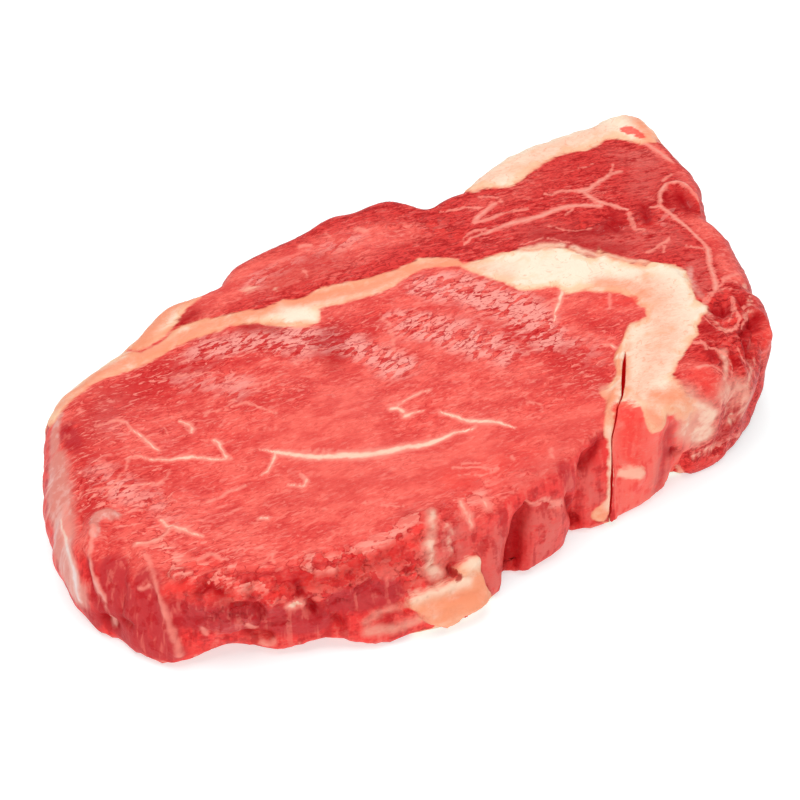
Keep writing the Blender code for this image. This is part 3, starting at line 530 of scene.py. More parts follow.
def crackCutter(tree):
    top = [onSurface(tree, pixel) for pixel in crack["top"]]
    wall = [onSurface(tree, pixel) for pixel in crack["wall"]]
    plan = [point.xy for point in top + wall]
    out = (plan[-1] - plan[-3]).normalized()
    plan.append(plan[-1] + out * crack["runsOut"] * mm)
    plan = np.array(plan)
    along = np.concatenate([[0], np.cumsum(np.linalg.norm(np.diff(plan, axis=0), axis=1))])
    bm = bmesh.new()
    bmesh.ops.create_cube(bm, size=1)
    for axis, cuts in crack["cuts"]:
        lengthwise = []
        for edge in bm.edges:
            first, second = edge.verts
            if abs(first.co[axis] - second.co[axis]) > 0.5:
                lengthwise.append(edge)
        subdivided(bm, lengthwise, cuts)
    shares, halves = zip(*crack["halfWidths"])
    below, above = crack["reach"]

    def planAt(place):
        return Vector([np.interp(place, along, plan[:, k]) for k in range(2)])

    for vert in bm.verts:
        share = vert.co.x + 0.5
        place = share * along[-1]
        here = planAt(place)
        way = (planAt(place + 0.4 * mm) - planAt(place - 0.4 * mm)).normalized()
        half = np.interp(share, shares, halves) * mm
        bottom = below + crack["shutBottom"] * max(0, 1 - share / crack["openFrom"])
        height = bottom * mm + (vert.co.z + 0.5) * (above - bottom) * mm
        sway = crack["sway"] * mm * noise.noise(Vector((share * 9, height / mm / 4, 0.3)))
        low = 1 - min(1, max(0, height / (crack["leanFrom"] * mm)))
        sway += crack["lean"] * mm * low * min(1, share * 2.4)
        side = (1 if vert.co.y > 0 else -1) * half + sway
        vert.co = Vector((here.x - way.y * side, here.y + way.x * side, height))
    bm.normal_update()
    if bm.calc_volume(signed=True) < 0:
        bmesh.ops.reverse_faces(bm, faces=bm.faces)
    return objectFrom(bm, "crackWedge")


def cutCrack(steak, tree):
    wedge = crackCutter(tree)
    cut = steak.modifiers.new("crack", "BOOLEAN")
    cut.operation = "DIFFERENCE"
    cut.solver = "EXACT"
    cut.object = wedge
    applyModifiers(steak)
    bpy.data.objects.remove(wedge)


# The surface: fibres, wrinkles, torn bundle ends and soft fat

surface = {      # sizes in mm along, across and down, heights in mm, turns in degrees in plan
    "seed": 7,                  # for noise_vector, which takes one from the clock otherwise
    "waveSize": (1.4, 1.4, 1.4),
    "wave": 0.35,               # how far the waves make a border crooked, mm
    "fibreTurn": -18,
    "fibreSize": (5, 1.8, 3),
    "fibreHeight": 0.07,
    "wrinkleTurn": 16,
    "wrinkleSize": (4.2, 1.6, 3),
    "wrinkleHeight": 0.12,
    "bundleSize": (4.6, 3.4, 3.0),
    "bundleHeight": 1.3,
    "chipSize": (2.3, 1.8, 1.5),
    "chipHeight": 0.45,
    "crevice": 0.2,             # how far the gaps between bundles go in, mm
    "flakeHeights": (0.4, 0.8),     # on the eye and on the cap
    "columnSize": (4.2, 4.2, 30),
    "columnHeight": 0.6,
    "cordSize": (1.8, 1.8, 9),
    "cordHeight": 0.2,
    "fatRise": 0.10,
    "fatLumpSize": (5, 3.6, 4),
    "fatLumpHeight": 0.35,
    "fatGrainTurn": 20,
    "fatGrainSize": (1.8, 1.4, 1.6),
    "fatGrainHeight": 0.12,
    "veinWidth": 0.85,          # share of the width in the table
    "veinRise": 0.04,
    "borderGroove": 0.12,
    "flapHeight": 1.5,
}
tornRim = {
    "begins": (-84, -76),      # mm along the slice, from not torn to torn
    "ends": (-34, -12),
    "grows": (6, 15),          # mm above the floor, from a little torn to fully torn
    "least": 0.2,              # share of the full height that is left at the foot
    "frontLine": ((-88, -16), (-76, -27), (-60, -36), (-40, -40), (-14, -41.5), (14, -39), (40, -40)),
}
noise.seed_set(surface["seed"])


def noiseAt(points, size, turn=0, seed=0):
    turned = points @ np.array(Matrix.Rotation(math.radians(turn), 3, "Z"))
    places = turned / (np.array(size) * mm) + seed * 7.31
    return np.array([noise.noise(Vector(place)) for place in places])


def chipsAt(points, size, turn=0, seed=0):       # flat tilted facets: their heights and how near a gap is
    turned = points @ np.array(Matrix.Rotation(math.radians(turn), 3, "Z"))
    rows = []
    for place in turned / (np.array(size) * mm) + seed * 5.17:
        apart, centres = noise.voronoi(Vector(place))
        centre = centres[0]
        tilt = noise.noise_vector(centre * 3.7)
        height = noise.noise(centre * 5.3) * 1.2 + tilt.dot(Vector(place) - centre) * 1.1
        rows.append((height, math.exp(-(((apart[1] - apart[0]) / 0.16) ** 2))))
    return np.array(rows).T


def ramp(value, low, high):
    share = np.clip((value - low) / (high - low), 0, 1)
    return share * share * (3 - 2 * share)


def treeOf(names):
    joined = bmesh.new()
    for name in names:
        joined.from_mesh(frame["nodes"][name].data)
    tree = BVHTree.FromBMesh(joined)
    joined.free()
    return tree


def distances(tree, points):
    return np.array([tree.find_nearest(Vector(point))[3] for point in points]) / mm


def zoneField(tree, points, name):
    rows = linesIn(zones[name])
    return strongest(points, [(row[0], row[1], lineOnSurface(tree, row[2], 2 * mm)) for row in rows])


def toPixels(points):
    right, up, back = (np.array(axis) for axis in cameraAxes())
    apart = points - (np.array(shot["target"]) + back * shot["distance"])
    reach = shot["lens"] / 36 * shot["picture"] / -(apart @ back)
    half = shot["picture"] / 2
    return np.stack([half + (apart @ right) * reach, half - (apart @ up) * reach], axis=1)


def outlineDepth(places, outline):      # mm inside an outline, below zero outside it
    corners = np.reshape(outline, (-1, 2)).astype(float)
    nearest = np.full(len(places), 1e9)
    inside = np.zeros(len(places), dtype=bool)
    for start, end in zip(corners, np.roll(corners, -1, axis=0)):
        run = end - start
        share = np.clip((places - start) @ run / (run @ run), 0, 1)
        nearest = np.minimum(nearest, np.linalg.norm(places - (start + share[:, None] * run), axis=1))
        crosses = (start[1] > places[:, 1]) != (end[1] > places[:, 1])
        rise = run[1] if run[1] != 0 else 1e-9
        inside ^= crosses & (places[:, 0] < start[0] + (places[:, 1] - start[1]) / rise * run[0])
    return np.where(inside, nearest, -nearest) / shot["pixelsToMm"]


def surfaceFields(tree, points, lines):
    found = [tree.find_nearest(Vector(point)) for point in points]
    normals = np.array([hit[1] for hit in found])
    depth = np.array([hit[3] for hit in found]) / mm
    sorts = (["eye_muscle"], ["cap_muscle"], ["rib_meat"], ["seam_fat", "back_fat", "edge_fat"])
    eye, cap, rib, fat = (distances(treeOf(nodes), points) for nodes in sorts)
    waves = [noiseAt(points, surface["waveSize"], 0, seed) for seed in (21, 22, 23)]
    warp = np.stack(waves, axis=1) * surface["wave"] * mm
    places = toPixels(points + warp * 0.6)
    drawn = {name: np.clip(outlineDepth(places, outline), -4, 4) for name, outline in fatOutlines.items()}
    fromSolids = np.clip(np.minimum(np.minimum(eye, cap), rib) - fat, -4, 4)
    seen = ramp(normals @ np.array(cameraAxes()[2]), 0.0, 0.22)
    under = ramp(-normals[:, 2], 0.3, 0.8)
    along, across, up = points.T / mm
    front = np.array(tornRim["frontLine"], dtype=float)
    edge = np.interp(along, front[:, 0], front[:, 1])
    fields = {
        "fat": fromSolids * (1 - seen) + np.max(list(drawn.values()), axis=0) * seen,
        "flap": ramp(drawn["edgeFlap"], -0.25, 0.25) * seen,
        "cap": np.clip(np.minimum(eye, rib) - cap, -6, 6),
        "rib": np.clip(np.minimum(eye, cap) - rib, -4, 4),
        "vein": veinField(points + warp, lines),
        "wall": (1 - ramp(normals[:, 2], 0.35, 0.85)) * (1 - under),
        "under": under,
        # the walls inside the crack, where the shader paints shade and a glowing light
        "inside": ramp(depth, 0.25, 1.2),
        "torn": ramp(edge - across, 0, 4) * (1 - under),
    }
    fields["torn"] *= ramp(along, *tornRim["begins"])
    fields["torn"] *= 1 - ramp(along, *tornRim["ends"])
    fields["torn"] *= tornRim["least"] + (1 - tornRim["least"]) * ramp(up, *tornRim["grows"])
    for name in zones:
        fields[name] = zoneField(tree, points + warp, name)
    return fields, normals, warp


def reliefHeights(tree, points, fields, warp):
    top = (1 - fields["wall"]) * (1 - fields["inside"])
    lean = 1 - ramp(fields["fat"], -0.4, 0.6)
    turn = surface["fibreTurn"]
    fibres = noiseAt(points, surface["fibreSize"], turn)
    fibres += 0.5 * noiseAt(points, np.array(surface["fibreSize"]) / 2, turn, 3)
    heights = surface["fibreHeight"] * fibres * lean * top
    turn = surface["wrinkleTurn"]
    folds = np.abs(noiseAt(points, surface["wrinkleSize"], turn, 5))
    folds += 0.5 * np.abs(noiseAt(points, np.array(surface["wrinkleSize"]) * 0.55, turn, 6))
    heights += surface["wrinkleHeight"] * (0.4 - 1.3 * np.minimum(folds, 0.5)) * fields["wet"] * lean * top
    torn = fields["torn"]
    bundles, gaps = chipsAt(points + warp, surface["bundleSize"], -8)
    chips = chipsAt(points, surface["chipSize"], 20, 4)[0]
    heights += (surface["bundleHeight"] * bundles + surface["chipHeight"] * chips) * torn
    heights -= surface["crevice"] * gaps * torn
    calm = fields["wall"] * (1 - 0.7 * torn)
    heights += surface["columnHeight"] * noiseAt(points, surface["columnSize"], 0, 11) * calm
    cords = 0.5 - 2 * np.abs(noiseAt(points, surface["cordSize"], 0, 12))
    heights += surface["cordHeight"] * cords * calm * lean
    heights += surface["fatRise"] * (1 - lean)
    heights += surface["fatLumpHeight"] * noiseAt(points, surface["fatLumpSize"], 0, 13) * (1 - lean)
    grain = noiseAt(points, surface["fatGrainSize"], surface["fatGrainTurn"], 14)
    heights += surface["fatGrainHeight"] * grain * (1 - lean)
    heights -= surface["borderGroove"] * np.exp(-((fields["fat"] / 0.5) ** 2))
    heights += surface["veinRise"] * ramp(fields["vein"], 0.3, 0.7) * lean
    for height, widths, pixels in linesIn(carvings):
        heights += height * nearness(points, lineOnSurface(tree, pixels), widths)
    heights += surface["flapHeight"] * fields["flap"]
    onEye, onCap = surface["flakeHeights"]
    flakes = onEye + (onCap - onEye) * ramp(fields["cap"], 0, 1)
    heights += flakes * chipsAt(points, surface["chipSize"], -18, 7)[0] * fields["flaky"] * top
    heights *= 1 - fields["inside"]
    return heights * (1 - fields["under"] * 0.8) * ramp(points[:, 2] / mm, 0.2, 2.0)


def smoothSkin():        # the whole slice without its fine surface
    steak = grownTogether()
    bm = bmesh.new()
    bm.from_mesh(steak.data)
    keepLargest(bm)
    smoothed(bm, bm.verts, 2)
    above = skinMesh["fineAbove"]
    subdivided(bm, [edge for edge in bm.edges if max(vert.co.z for vert in edge.verts) > above])
    solids = treeOf(frame["nodes"])
    for vert in bm.verts:
        vert.co = vert.co.lerp(solids.find_nearest(vert.co)[0], skinMesh["hold"])
    smoothed(bm, bm.verts, 4)
    bm.normal_update()
    print("slice:", len(bm.verts), "points")
    return steak, bm


def finerWhereNeeded(bm, tree, lines):
    points = positions(bm)
    fields = surfaceFields(tree, points, lines)[0]
    grooves = [(1, np.max(row[1]) * 1.6, lineOnSurface(tree, row[2])) for row in linesIn(carvings)]
    need = np.maximum.reduce([
        veinField(points, lines, spread=0.9) * 1.2,
        1.3 * np.exp(-(fields["fat"] ** 2)) * (1 - fields["under"]),
        fields["wet"] * (1 - fields["wall"]),
        fields["torn"] * 2.2,
        fields["flap"],
        fields["flaky"] * 0.9,
        strongest(points, grooves),
    ])
    chosen = {vert for vert, value in zip(bm.verts, need) if value > skinMesh["fineFrom"]}
    subdivided(bm, [edge for edge in bm.edges if chosen.issuperset(edge.verts)])
    print("with finer zones:", len(bm.verts), "points")


def makeSteak():
    steak, bm = smoothSkin()
    tree = BVHTree.FromBMesh(bm)
    lines = veinLines(tree)
    finerWhereNeeded(bm, tree, lines)
    bm.to_mesh(steak.data)
    bm.free()
    cutCrack(steak, tree)
    print("crack cut:", len(steak.data.vertices), "points")
    bm = bmesh.new()
    bm.from_mesh(steak.data)
    points = positions(bm)
    fields, normals, warp = surfaceFields(tree, points, lines)
    print("fields laid over the surface")
    heights = reliefHeights(tree, points, fields, warp)
    for vert, normal, height in zip(bm.verts, normals, heights):
        vert.co += Vector(normal) * height * mm
        if vert.co.z < skinMesh["flatBelow"]:
            vert.co.z = 0
    bm.to_mesh(steak.data)
    bm.free()
    for name, values in fields.items():
        attribute = steak.data.attributes.new(name, "FLOAT", "POINT")
        attribute.data.foreach_set("value", values.astype(np.float32))
    steak.data.polygons.foreach_set("use_smooth", [True] * len(steak.data.polygons))
    print("relief carved:", sum(len(face.vertices) - 2 for face in steak.data.polygons), "triangles")
    return steak


steak = makeSteak()


# Materials

def operator(operation, reflected=False):
    def method(self, other=None):
        values = (other, self) if reflected else (self, other)
        return self.maths(operation, *(value for value in values if value is not None))
    return method


class Wire:      # a socket that can be used like a number in a sum
    def __init__(self, sheet, socket):
        self.sheet = sheet
        self.socket = socket

    def maths(self, operation, *values):
        return self.sheet.add("ShaderNodeMath", {"operation": operation}, dict(enumerate(values)))

    __add__ = operator("ADD")
    __radd__ = operator("ADD", reflected=True)
    __sub__ = operator("SUBTRACT")
    __rsub__ = operator("SUBTRACT", reflected=True)
    __mul__ = operator("MULTIPLY")
    __rmul__ = operator("MULTIPLY", reflected=True)
    __truediv__ = operator("DIVIDE")
    __rtruediv__ = operator("DIVIDE", reflected=True)
    __abs__ = operator("ABSOLUTE")
    atLeast = operator("MAXIMUM")
    atMost = operator("MINIMUM")

    def ramp(self, low, high):       # 0 below low, 1 above high, smooth between
        values = {"Value": self, "From Min": low, "From Max": high}
        return self.sheet.add("ShaderNodeMapRange", {"interpolation_type": "SMOOTHSTEP"}, values)


class Sheet:     # one material's nodes
    def __init__(self, name):
        self.material = bpy.data.materials.new(name)
        self.material.use_nodes = True
        self.tree = self.material.node_tree
        self.tree.nodes.clear()

    def add(self, kind, settings=None, values=None, output=0):
        node = self.tree.nodes.new(kind)
        for name, setting in (settings or {}).items():
            setattr(node, name, setting)
        for name, value in (values or {}).items():
            if isinstance(value, Wire):
                self.tree.links.new(value.socket, node.inputs[name])
            else:
                node.inputs[name].default_value = value
        return Wire(self, node.outputs[output]) if node.outputs else node

    def field(self, name):
        return self.add("ShaderNodeAttribute", {"attribute_name": name}, output="Fac")

    def place(self, size, turn=0, start=(0, 0, 0)):      # the object's own coordinates, in steps of mm
        where = self.add("ShaderNodeTexCoord", output="Object")
        turn = (0, 0, math.radians(-turn))
        turned = self.add("ShaderNodeMapping", {}, {"Vector": where, "Rotation": turn})
        steps = tuple(1 / (length * mm) for length in size)
        return self.add("ShaderNodeMapping", {}, {"Vector": turned, "Scale": steps, "Location": start})

    def noise(self, size, turn=0, detail=2, roughness=0.5, distortion=0, start=(0, 0, 0)):
        values = {"Vector": self.place(size, turn, start), "Scale": 1, "Detail": detail}
        values.update({"Roughness": roughness, "Distortion": distortion})
        return self.add("ShaderNodeTexNoise", {}, values)

    def cells(self, size, turn, warp, start):      # crooked flakes: their tones and how near a border is
        where = self.place(size, turn, start)
        wave = self.add("ShaderNodeTexNoise", {}, {"Vector": where, "Scale": 1.3, "Detail": 2}, "Color")
        swayed = {0: wave, 1: (warp * 2,) * 3, 2: where}
        swayed = self.add("ShaderNodeVectorMath", {"operation": "MULTIPLY_ADD"}, swayed)
        tone = self.add("ShaderNodeTexVoronoi", {}, {"Vector": swayed, "Scale": 1}, "Color")
        edges = {"feature": "DISTANCE_TO_EDGE"}
        border = self.add("ShaderNodeTexVoronoi", edges, {"Vector": swayed, "Scale": 1})
        return self.add("ShaderNodeSeparateColor", {}, {0: tone}), border

    def colour(self, given):      # a colour, or the name of one in meatLook
        return meatLook[given] if isinstance(given, str) else given

    def mix(self, first, second, share):
        values = {0: share, 6: self.colour(first), 7: self.colour(second)}
        return self.add("ShaderNodeMix", {"data_type": "RGBA"}, values, 2)

    def over(self, under, *layers):      # each layer's colour covers what is under it where its mask is
        for colour, mask in layers:
            under = self.mix(under, colour, mask)
        return under


def linear(value):      # a screen value, 0 to 255, as the shader's own linear one
    step = value / 255
    return step / 12.92 if step < 0.04045 else ((step + 0.055) / 1.055) ** 2.4


def shade(red, green, blue):
    return linear(red), linear(green), linear(blue), 1


meatLook = {      # as they look on screen, in daylight
    "lean": (243, 84, 76), "leanPale": (251, 108, 96), "leanDull": (230, 78, 72),
    # the crease and line colours are painted shade: dark red in the creases, crinkles and gaps
    "leanDeep": (204, 34, 38), "crease": (190, 22, 28), "line": (150, 6, 16),
    # the colour of the wet surface is a painted sheen; the pale flecks are partly fine pale grain, partly
    # painted highlights
    "fleckAndHighlight": (255, 158, 142), "paintedWetSheen": (255, 168, 156), "cap": (226, 62, 58),
    "capDeep": (172, 6, 16), "capPale": (238, 112, 102), "wall": (244, 56, 54),
    # the deep wall red is also painted shade on torn facets and in the gaps between the rim's chips
    "wallDeep": (188, 14, 26), "wallPale": (246, 124, 110), "maroon": (196, 52, 56),
    "bright": (248, 62, 54), "dusky": (224, 104, 96), "rib": (252, 106, 94),
    # bloody spots use the first colour, which is also painted shade in grooves and gaps; the cut meat inside
    # the crack is darkened as painted shade and lit by a painted glowing light
    "bloodAndShade": (172, 4, 16), "inside": (196, 18, 18), "paintedCrackGlow": (112, 6, 6),
    # the pale colour also paints highlights on the edges of torn bundles; the colour of the rim's chips is a
    # painted highlight
    "pale": (254, 146, 130), "chipHighlight": (255, 158, 142), "haze": (240, 160, 140),
    "hazePale": (250, 204, 180), "nodule": (253, 190, 164), "membrane": (230, 140, 126),
    "membranePale": (242, 190, 178), "stringy": (238, 134, 118), "stringyPale": (250, 190, 166),
    "fat": (254, 236, 212), "fatWarm": (252, 210, 172), "peach": (250, 160, 128),
    "fatOrange": (248, 150, 110), "vein": (254, 212, 186), "capVein": (246, 160, 144),
    # the silverskin colour carries its painted sheen
    "silverskinAndSheen": (242, 212, 208), "shine": (255, 170, 156), "black": (0, 0, 0),
}
meatLook = {name: shade(*colour) for name, colour in meatLook.items()}
meatGrain = {      # size in mm, turn in degrees, detail, roughness, distortion, start
    "broad": ((15, 10, 14), 0, 2, 0.5, 0, (1, 7, 4)),
    "mottle": ((4.4, 1.9, 3), -12, 3, 0.58, 0, (3, 1, 2)),
    "speck": ((1.3, 0.55, 0.8), -12, 3, 0.66, 0, (2, 5, 7)),
    "crease": ((3.4, 0.9, 1.8), -14, 3, 0.62, 0, (6, 2, 1)),
    "crinkle": ((3.4, 1.2, 1.8), -8, 2, 0.5, 1.1, (4, 9, 2)),
    "upright": ((1.6, 1.6, 14), 0, 2, 0.55),
    "cloud": ((7, 4, 6), -12, 2, 0.5, 0, (2, 2, 9)),
    "lumps": ((5, 3.4, 3.4), 0, 2, 0.5, 0.8, (9, 4, 1)),
    "small": ((1.8, 1.3, 1.3), 20, 3, 0.62, 0, (3, 8, 5)),
}
meatFlakes = {      # size, turn, how crooked, start
    "fold": ((3.0, 1.25, 2), 14, 0.5, (1, 6, 3)),
    "chunk": ((3.6, 3.0, 2.2), -8, 0.5, (4, 2, 6)),
}


def linesOf(noise, width):       # thin wavering lines where a noise passes its middle
    return 1 - abs(noise - 0.5).ramp(0, width)


def meatMaterial():
    sheet = Sheet("rawMeat")
    mix, over = sheet.mix, sheet.over
    names = ("wall", "torn", "wet", "flaky", "pale", "deep", "cream", "bloodAndShade", "bright", "peach")
    wall, torn, wet, flaky, paleZone, deep, cream, bloodAndShade, bright, peach = map(sheet.field, names)
    capShare = sheet.field("cap").ramp(-0.4, 0.8)
    grains = (sheet.noise(*values) for values in meatGrain.values())
    broad, mottle, speck, crease, crinkle, upright, cloud, lumps, small = grains
    fold, foldBorder = sheet.cells(*meatFlakes["fold"])
    chunk, chunkBorder = sheet.cells(*meatFlakes["chunk"])
    patchy = mottle * 0.6 + crease * 0.4
    wetMask = (wet + (broad - 0.5) * 0.8 + (mottle - 0.5) * 0.7).ramp(0.2, 0.8) * wet.ramp(0.02, 0.2)
    creased = flaky * 0.4 + deep * 0.5 + 0.4 - paleZone * 0.25

    palePart = broad * 0.4 + cloud * 0.35 + mottle * 0.25 + paleZone * 0.16 - deep * 0.15
    top = over(
        "lean",
        ("leanPale", palePart.ramp(0.38, 0.56)),
        ("leanDull", cloud.ramp(0.56, 0.42) * 0.7),
        ("leanDeep", (deep * 0.8 + (mottle - 0.5) * 2.4).ramp(0.05, 0.8) * (0.72 - paleZone * 0.5)),
        ("leanDeep", speck.ramp(0.48, 0.36) * (0.36 - paleZone * 0.3)),
        # pale flecks: partly fine pale grain, partly painted highlights, also on the ridges of the crinkles
        ("fleckAndHighlight", speck.ramp(0.55, 0.68) * (0.4 - paleZone * 0.25)),
        ("fleckAndHighlight", crinkle.ramp(0.54, 0.62) * crease.ramp(0.44, 0.54) * creased * 0.75),
        # dark lines of painted shade in the crinkles
        ("crease", linesOf(crinkle, 0.07) * mottle.ramp(0.58, 0.44) * creased),
        # wet patches: painted sheen on some folds of the wet surface, painted shade on the others and in the
        # creases between them
        ("paintedWetSheen", (fold * 0.7 + crease * 0.6).ramp(0.42, 0.66) * wetMask * 0.8),
        ("leanDeep", (fold * 0.7 + mottle * 0.6).ramp(0.42, 0.24) * wetMask * 0.7),
        ("crease", foldBorder.ramp(0.12, 0.02) * crease.ramp(0.52, 0.42) * wetMask),
        ("crease", linesOf(crinkle, 0.05) * mottle.ramp(0.54, 0.46) * wetMask * 0.8),
    )
    side = over(
        "wall",
        ("wallDeep", (mottle * 0.5 + upright * 0.4 + speck * 0.1).ramp(0.53, 0.42) * 0.8),
        ("wallPale", (upright * 0.7 + speck * 0.3).ramp(0.53, 0.66) * 0.5),
        # torn bundle ends: lighter and darker facets, partly painted light and shade, with painted
        # highlights on their edges and painted shade in the gaps between them
        ("wallPale", (chunk * 0.8 + crease * 0.4).ramp(0.62, 0.8) * torn * 0.6),
        ("wallDeep", (chunk * 0.8 + mottle * 0.4).ramp(0.5, 0.3) * torn * 0.6),
        ("pale", chunkBorder.ramp(0.12, 0.03) * crease.ramp(0.5, 0.58) * torn * 0.5),
        ("bloodAndShade", chunkBorder.ramp(0.10, 0.02) * mottle.ramp(0.52, 0.42) * torn * 0.75),
    )
    capTop = over(
        "cap",
        ("capPale", (broad * 0.3 + crease * 0.4 + speck * 0.3).ramp(0.50, 0.62) * 0.8),
        ("capDeep", (mottle * 0.3 + crease * 0.3 + speck * 0.4).ramp(0.50, 0.42) * 0.8),
        # dark lines of painted shade in the crinkles and between the flakes; a painted sheen on the wet
        # patches
        ("line", linesOf(crinkle, 0.07) * 0.6),
        ("paintedWetSheen", fold.ramp(0.7, 0.85) * wetMask * 0.4),
        ("bright", (chunk * 0.8 + crease * 0.4).ramp(0.58, 0.74) * flaky * 0.7),
        ("line", chunkBorder.ramp(0.16, 0.03) * mottle.ramp(0.54, 0.42) * flaky * 0.8),
        ("capPale", (chunk * 0.6 + speck * 0.4).ramp(0.30, 0.18) * flaky * 0.7),
        (top, sheet.field("fresh").ramp(0.1, 0.8)),
    )
    ribTop = over(
        "rib",
        ("wallPale", (upright * 0.6 + speck * 0.4).ramp(0.50, 0.62) * 0.55),
        ("wall", (upright * 0.5 + mottle * 0.5).ramp(0.50, 0.40) * 0.6),
    )
    maroonTop = over(
        "maroon",
        ("wallPale", upright.ramp(0.53, 0.68) * 0.45),
        ("wallDeep", mottle.ramp(0.48, 0.38) * 0.7),
    )
    maroon = (sheet.field("maroon") + (mottle - 0.5) * 0.5).ramp(0.12, 0.55)
    duskyTop = mix("dusky", "wallDeep", (upright * 0.7 + speck * 0.3).ramp(0.49, 0.38) * 0.5)
    brightTop = mix("bright", "wallPale", (speck * 0.6 + crease * 0.4).ramp(0.53, 0.64) * 0.5)
    # painted highlights on the chips along the rim
    chips = sheet.field("chips").ramp(0.05, 0.7)
    rimChipHighlight = mix("chipHighlight", "wallPale", crease.ramp(0.56, 0.44))
    stringyZone = sheet.field("stringy")
    stringy = (stringyZone + (upright - 0.5) * 1.6 + (mottle - 0.5) * 1.0).ramp(0.3, 1.0)
    hazeZone = sheet.field("haze")
    haze = (hazeZone + (mottle - 0.5) * 0.6 + (crease - 0.5) * 0.2).ramp(0.1, 0.9)
    hazePart = (broad * 0.4 + mottle * 0.6).ramp(0.40, 0.56) * hazeZone.ramp(0.5, 0.85)
    skin = mix("membrane", "membranePale", (upright * 0.5 + broad * 0.5).ramp(0.47, 0.60) * 0.6)
    membrane = (sheet.field("membrane") + (upright - 0.5) * 0.3 + (mottle - 0.5) * 0.3).ramp(0.24, 0.78)
    vein = sheet.field("vein") * (0.7 + mottle * 0.6) + (crease - 0.5) * (0.3 + capShare * 0.5)
    lean = over(
        mix(top, side, (wall * 0.85).atLeast(torn * 0.75)),
        (capTop, capShare),
        (ribTop, sheet.field("rib").ramp(-0.3, 0.3)),
        (duskyTop, sheet.field("dusky") * patchy.ramp(0.34, 0.52) * 0.85),
        (maroonTop, maroon * 0.88),
        (brightTop, bright * patchy.ramp(0.38, 0.54) * 0.85),
        # bloody spots, and painted shade in the grooves and gaps
        ("bloodAndShade", bloodAndShade * patchy.ramp(0.32, 0.46) * 0.95),
        # painted highlights on the rim's chips, and painted shade in the gaps between them
        (rimChipHighlight, (chunk * 0.7 + patchy + speck * 0.2).ramp(0.93, 1.08) * chips * 0.85),
        ("wallDeep", chunkBorder.ramp(0.07, 0.01) * crease.ramp(0.54, 0.44) * chips * 0.7),
        (mix("stringy", "stringyPale", crease.ramp(0.45, 0.6)), stringy * stringyZone.ramp(0, 0.3) * 0.8),
        (mix("haze", "hazePale", hazePart), haze * hazeZone.ramp(0, 0.25) * 0.95),
        (skin, membrane * 0.88),
        (mix("pale", "membranePale", membrane * wall), vein.ramp(0.08, 0.55) * 0.7),
        # on the left wall the vein colour is silverskin with its painted sheen
        (over("vein", ("capVein", capShare), ("silverskinAndSheen", membrane * wall)), vein.ramp(0.55, 1.0) * 0.95),
        ("nodule", (cream + (crease - 0.5) * 0.9 + (mottle - 0.5) * 0.6).ramp(0.35, 0.9) * 0.85),
    )

    fatDepth = sheet.field("fat")
    fatEdge = fatDepth / (1 + hazeZone * 5) + (crease - 0.5) * 0.9 + (mottle - 0.5) * 0.5
    warm = lumps * 0.7 + small * 0.2 + (1 - fatDepth.ramp(0, 2.4)) * 0.25 + wall * 0.2
    fray = (crease - 0.5) * 1.2 + (mottle - 0.5) * 1.2 - 0.4
    fat = over(
        "fat",
        ("fatWarm", warm.ramp(0.44, 0.72)),
        ("peach", (peach.atLeast(wall * 0.5) * (0.5 + lumps * 0.7 + small * 0.4)).atMost(1)),
        ("peach", (1 - fatEdge.ramp(0.0, 1.0)) * mottle.ramp(0.38, 0.56) * 0.75),
        ("fatOrange", linesOf(lumps, 0.03) * small.ramp(0.46, 0.58) * 0.45),
        ("fatOrange", linesOf(crease, 0.06) * peach * 0.6),
        ("fatOrange", sheet.field("orange") * lumps.ramp(0.25, 0.55) * 0.8),
        ("fat", cream * 0.7),
        (skin, membrane * crease.ramp(0.38, 0.56) * 0.7),
        ("bloodAndShade", (bloodAndShade * 1.3 + fray).ramp(0, 0.5) * bloodAndShade.ramp(0.1, 0.4) * 0.85),
        (brightTop, (bright * 1.3 + fray).ramp(0, 0.5) * bright.ramp(0.1, 0.4) * 0.85),
    )
    inFat = fatEdge.ramp(-0.3, 0.35)
    inside = sheet.field("inside")
    calm = fatDepth.ramp(-0.2, 0.3)
    bumps = speck * 0.2 * (1 - calm) + small * 0.3 * calm
    rough = (0.5 - wetMask * 0.1 - torn * 0.14 - flaky * 0.1) * (1 - inFat) + 0.5 * inFat
    coat = 0.02 + wetMask * 0.06 + torn * 0.12 + flaky * 0.08 + wall * 0.06 + membrane * 0.4
    surfaceNode = sheet.add("ShaderNodeBsdfPrincipled", {}, {
        # inside the crack the colour is darkened as painted shade
        "Base Color": over(lean, (fat, inFat), ("inside", inside)),
        "Roughness": rough,
        "IOR": 1.36,
        "Specular IOR Level": 0.2,
        "Specular Tint": meatLook["shine"],
        "Coat Weight": (coat * (1 - inFat * 0.7)).atMost(1),
        "Coat Roughness": 0.12,
        "Coat IOR": 1.34,
        # a painted glowing light on the walls inside the crack
        "Emission Color": mix("black", "paintedCrackGlow", inside),
        "Emission Strength": 1.0,
        "Normal": sheet.add("ShaderNodeBump", {}, {"Height": bumps, "Distance": mm, "Strength": 1.0}),
    })
    sheet.add("ShaderNodeOutputMaterial", {}, {"Surface": surfaceNode})
    return sheet.material


steak.data.materials.clear()
steak.data.materials.append(meatMaterial())
print("meat material made")

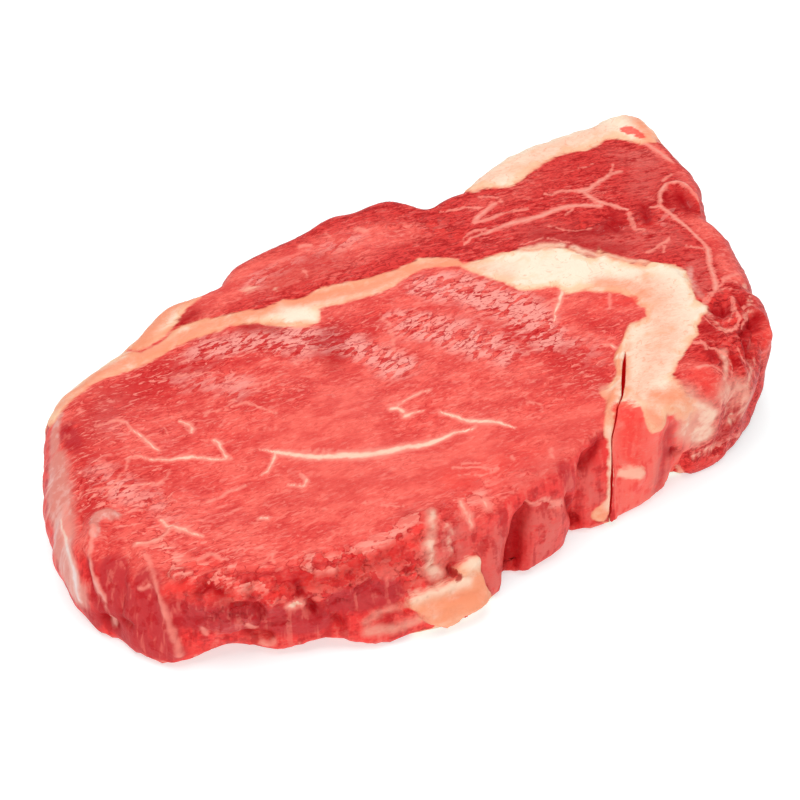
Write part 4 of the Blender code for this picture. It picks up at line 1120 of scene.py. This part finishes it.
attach(steak, "root")
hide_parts("eye_muscle", "cap_muscle", "seam_fat", "back_fat", "rib_meat", "edge_fat")


# A pale floor, and soft light from behind and from the front

studio = {
    "floorSize": 3,                       # m, from its middle to a side
    "floorTones": (230, 232),
    "floorGrain": (30, 30, 30),
    "floorGlow": (0.32, 0.46, 0.46),      # less red, because the meat throws red light on the floor
    "world": 0.30,
    "lights": (
        # name, place, size, watts
        ("topLight", (-0.1, 0.1, 1.3), 1.3, 11.5),
        ("backLight", (0.40, 0.78, 0.75), 0.2, 1.1),
        ("frontLight", (-0.65, -0.95, 0.60), 0.8, 5.2),
        ("rightLight", (0.95, -0.35, 0.45), 0.7, 1.4),
    ),
}


def makeFloor():
    bm = bmesh.new()
    bmesh.ops.create_grid(bm, x_segments=1, y_segments=1, size=studio["floorSize"])
    floor = objectFrom(bm, "floor")
    sheet = Sheet("paleFloor")
    grain = sheet.noise(studio["floorGrain"])
    darker, lighter = (shade(tone, tone, tone) for tone in studio["floorTones"])
    shader = sheet.add("ShaderNodeBsdfPrincipled", {}, {
        "Base Color": sheet.mix(darker, lighter, grain),
        "Roughness": 0.9,
        "Specular IOR Level": 0.1,
        "Emission Color": studio["floorGlow"] + (1,),
        "Emission Strength": 1.0,
    })
    sheet.add("ShaderNodeOutputMaterial", {}, {"Surface": shader})
    floor.data.materials.append(sheet.material)


def makeLights():
    world = bpy.data.worlds.new("studio")
    world.use_nodes = True
    sky = world.node_tree.nodes["Background"]
    sky.inputs["Color"].default_value = (1, 1, 1, 1)
    sky.inputs["Strength"].default_value = studio["world"]
    bpy.context.scene.world = world
    for name, place, size, watts in studio["lights"]:
        lamp = bpy.data.lights.new(name, "AREA")
        lamp.shape = "DISK"
        lamp.size = size
        lamp.energy = watts
        holder = bpy.data.objects.new(name, lamp)
        holder.location = place
        holder.rotation_euler = (-Vector(place)).to_track_quat("-Z", "Y").to_euler()
        bpy.context.scene.collection.objects.link(holder)


makeFloor()
makeLights()
bpy.context.scene.view_settings.view_transform = "Standard"
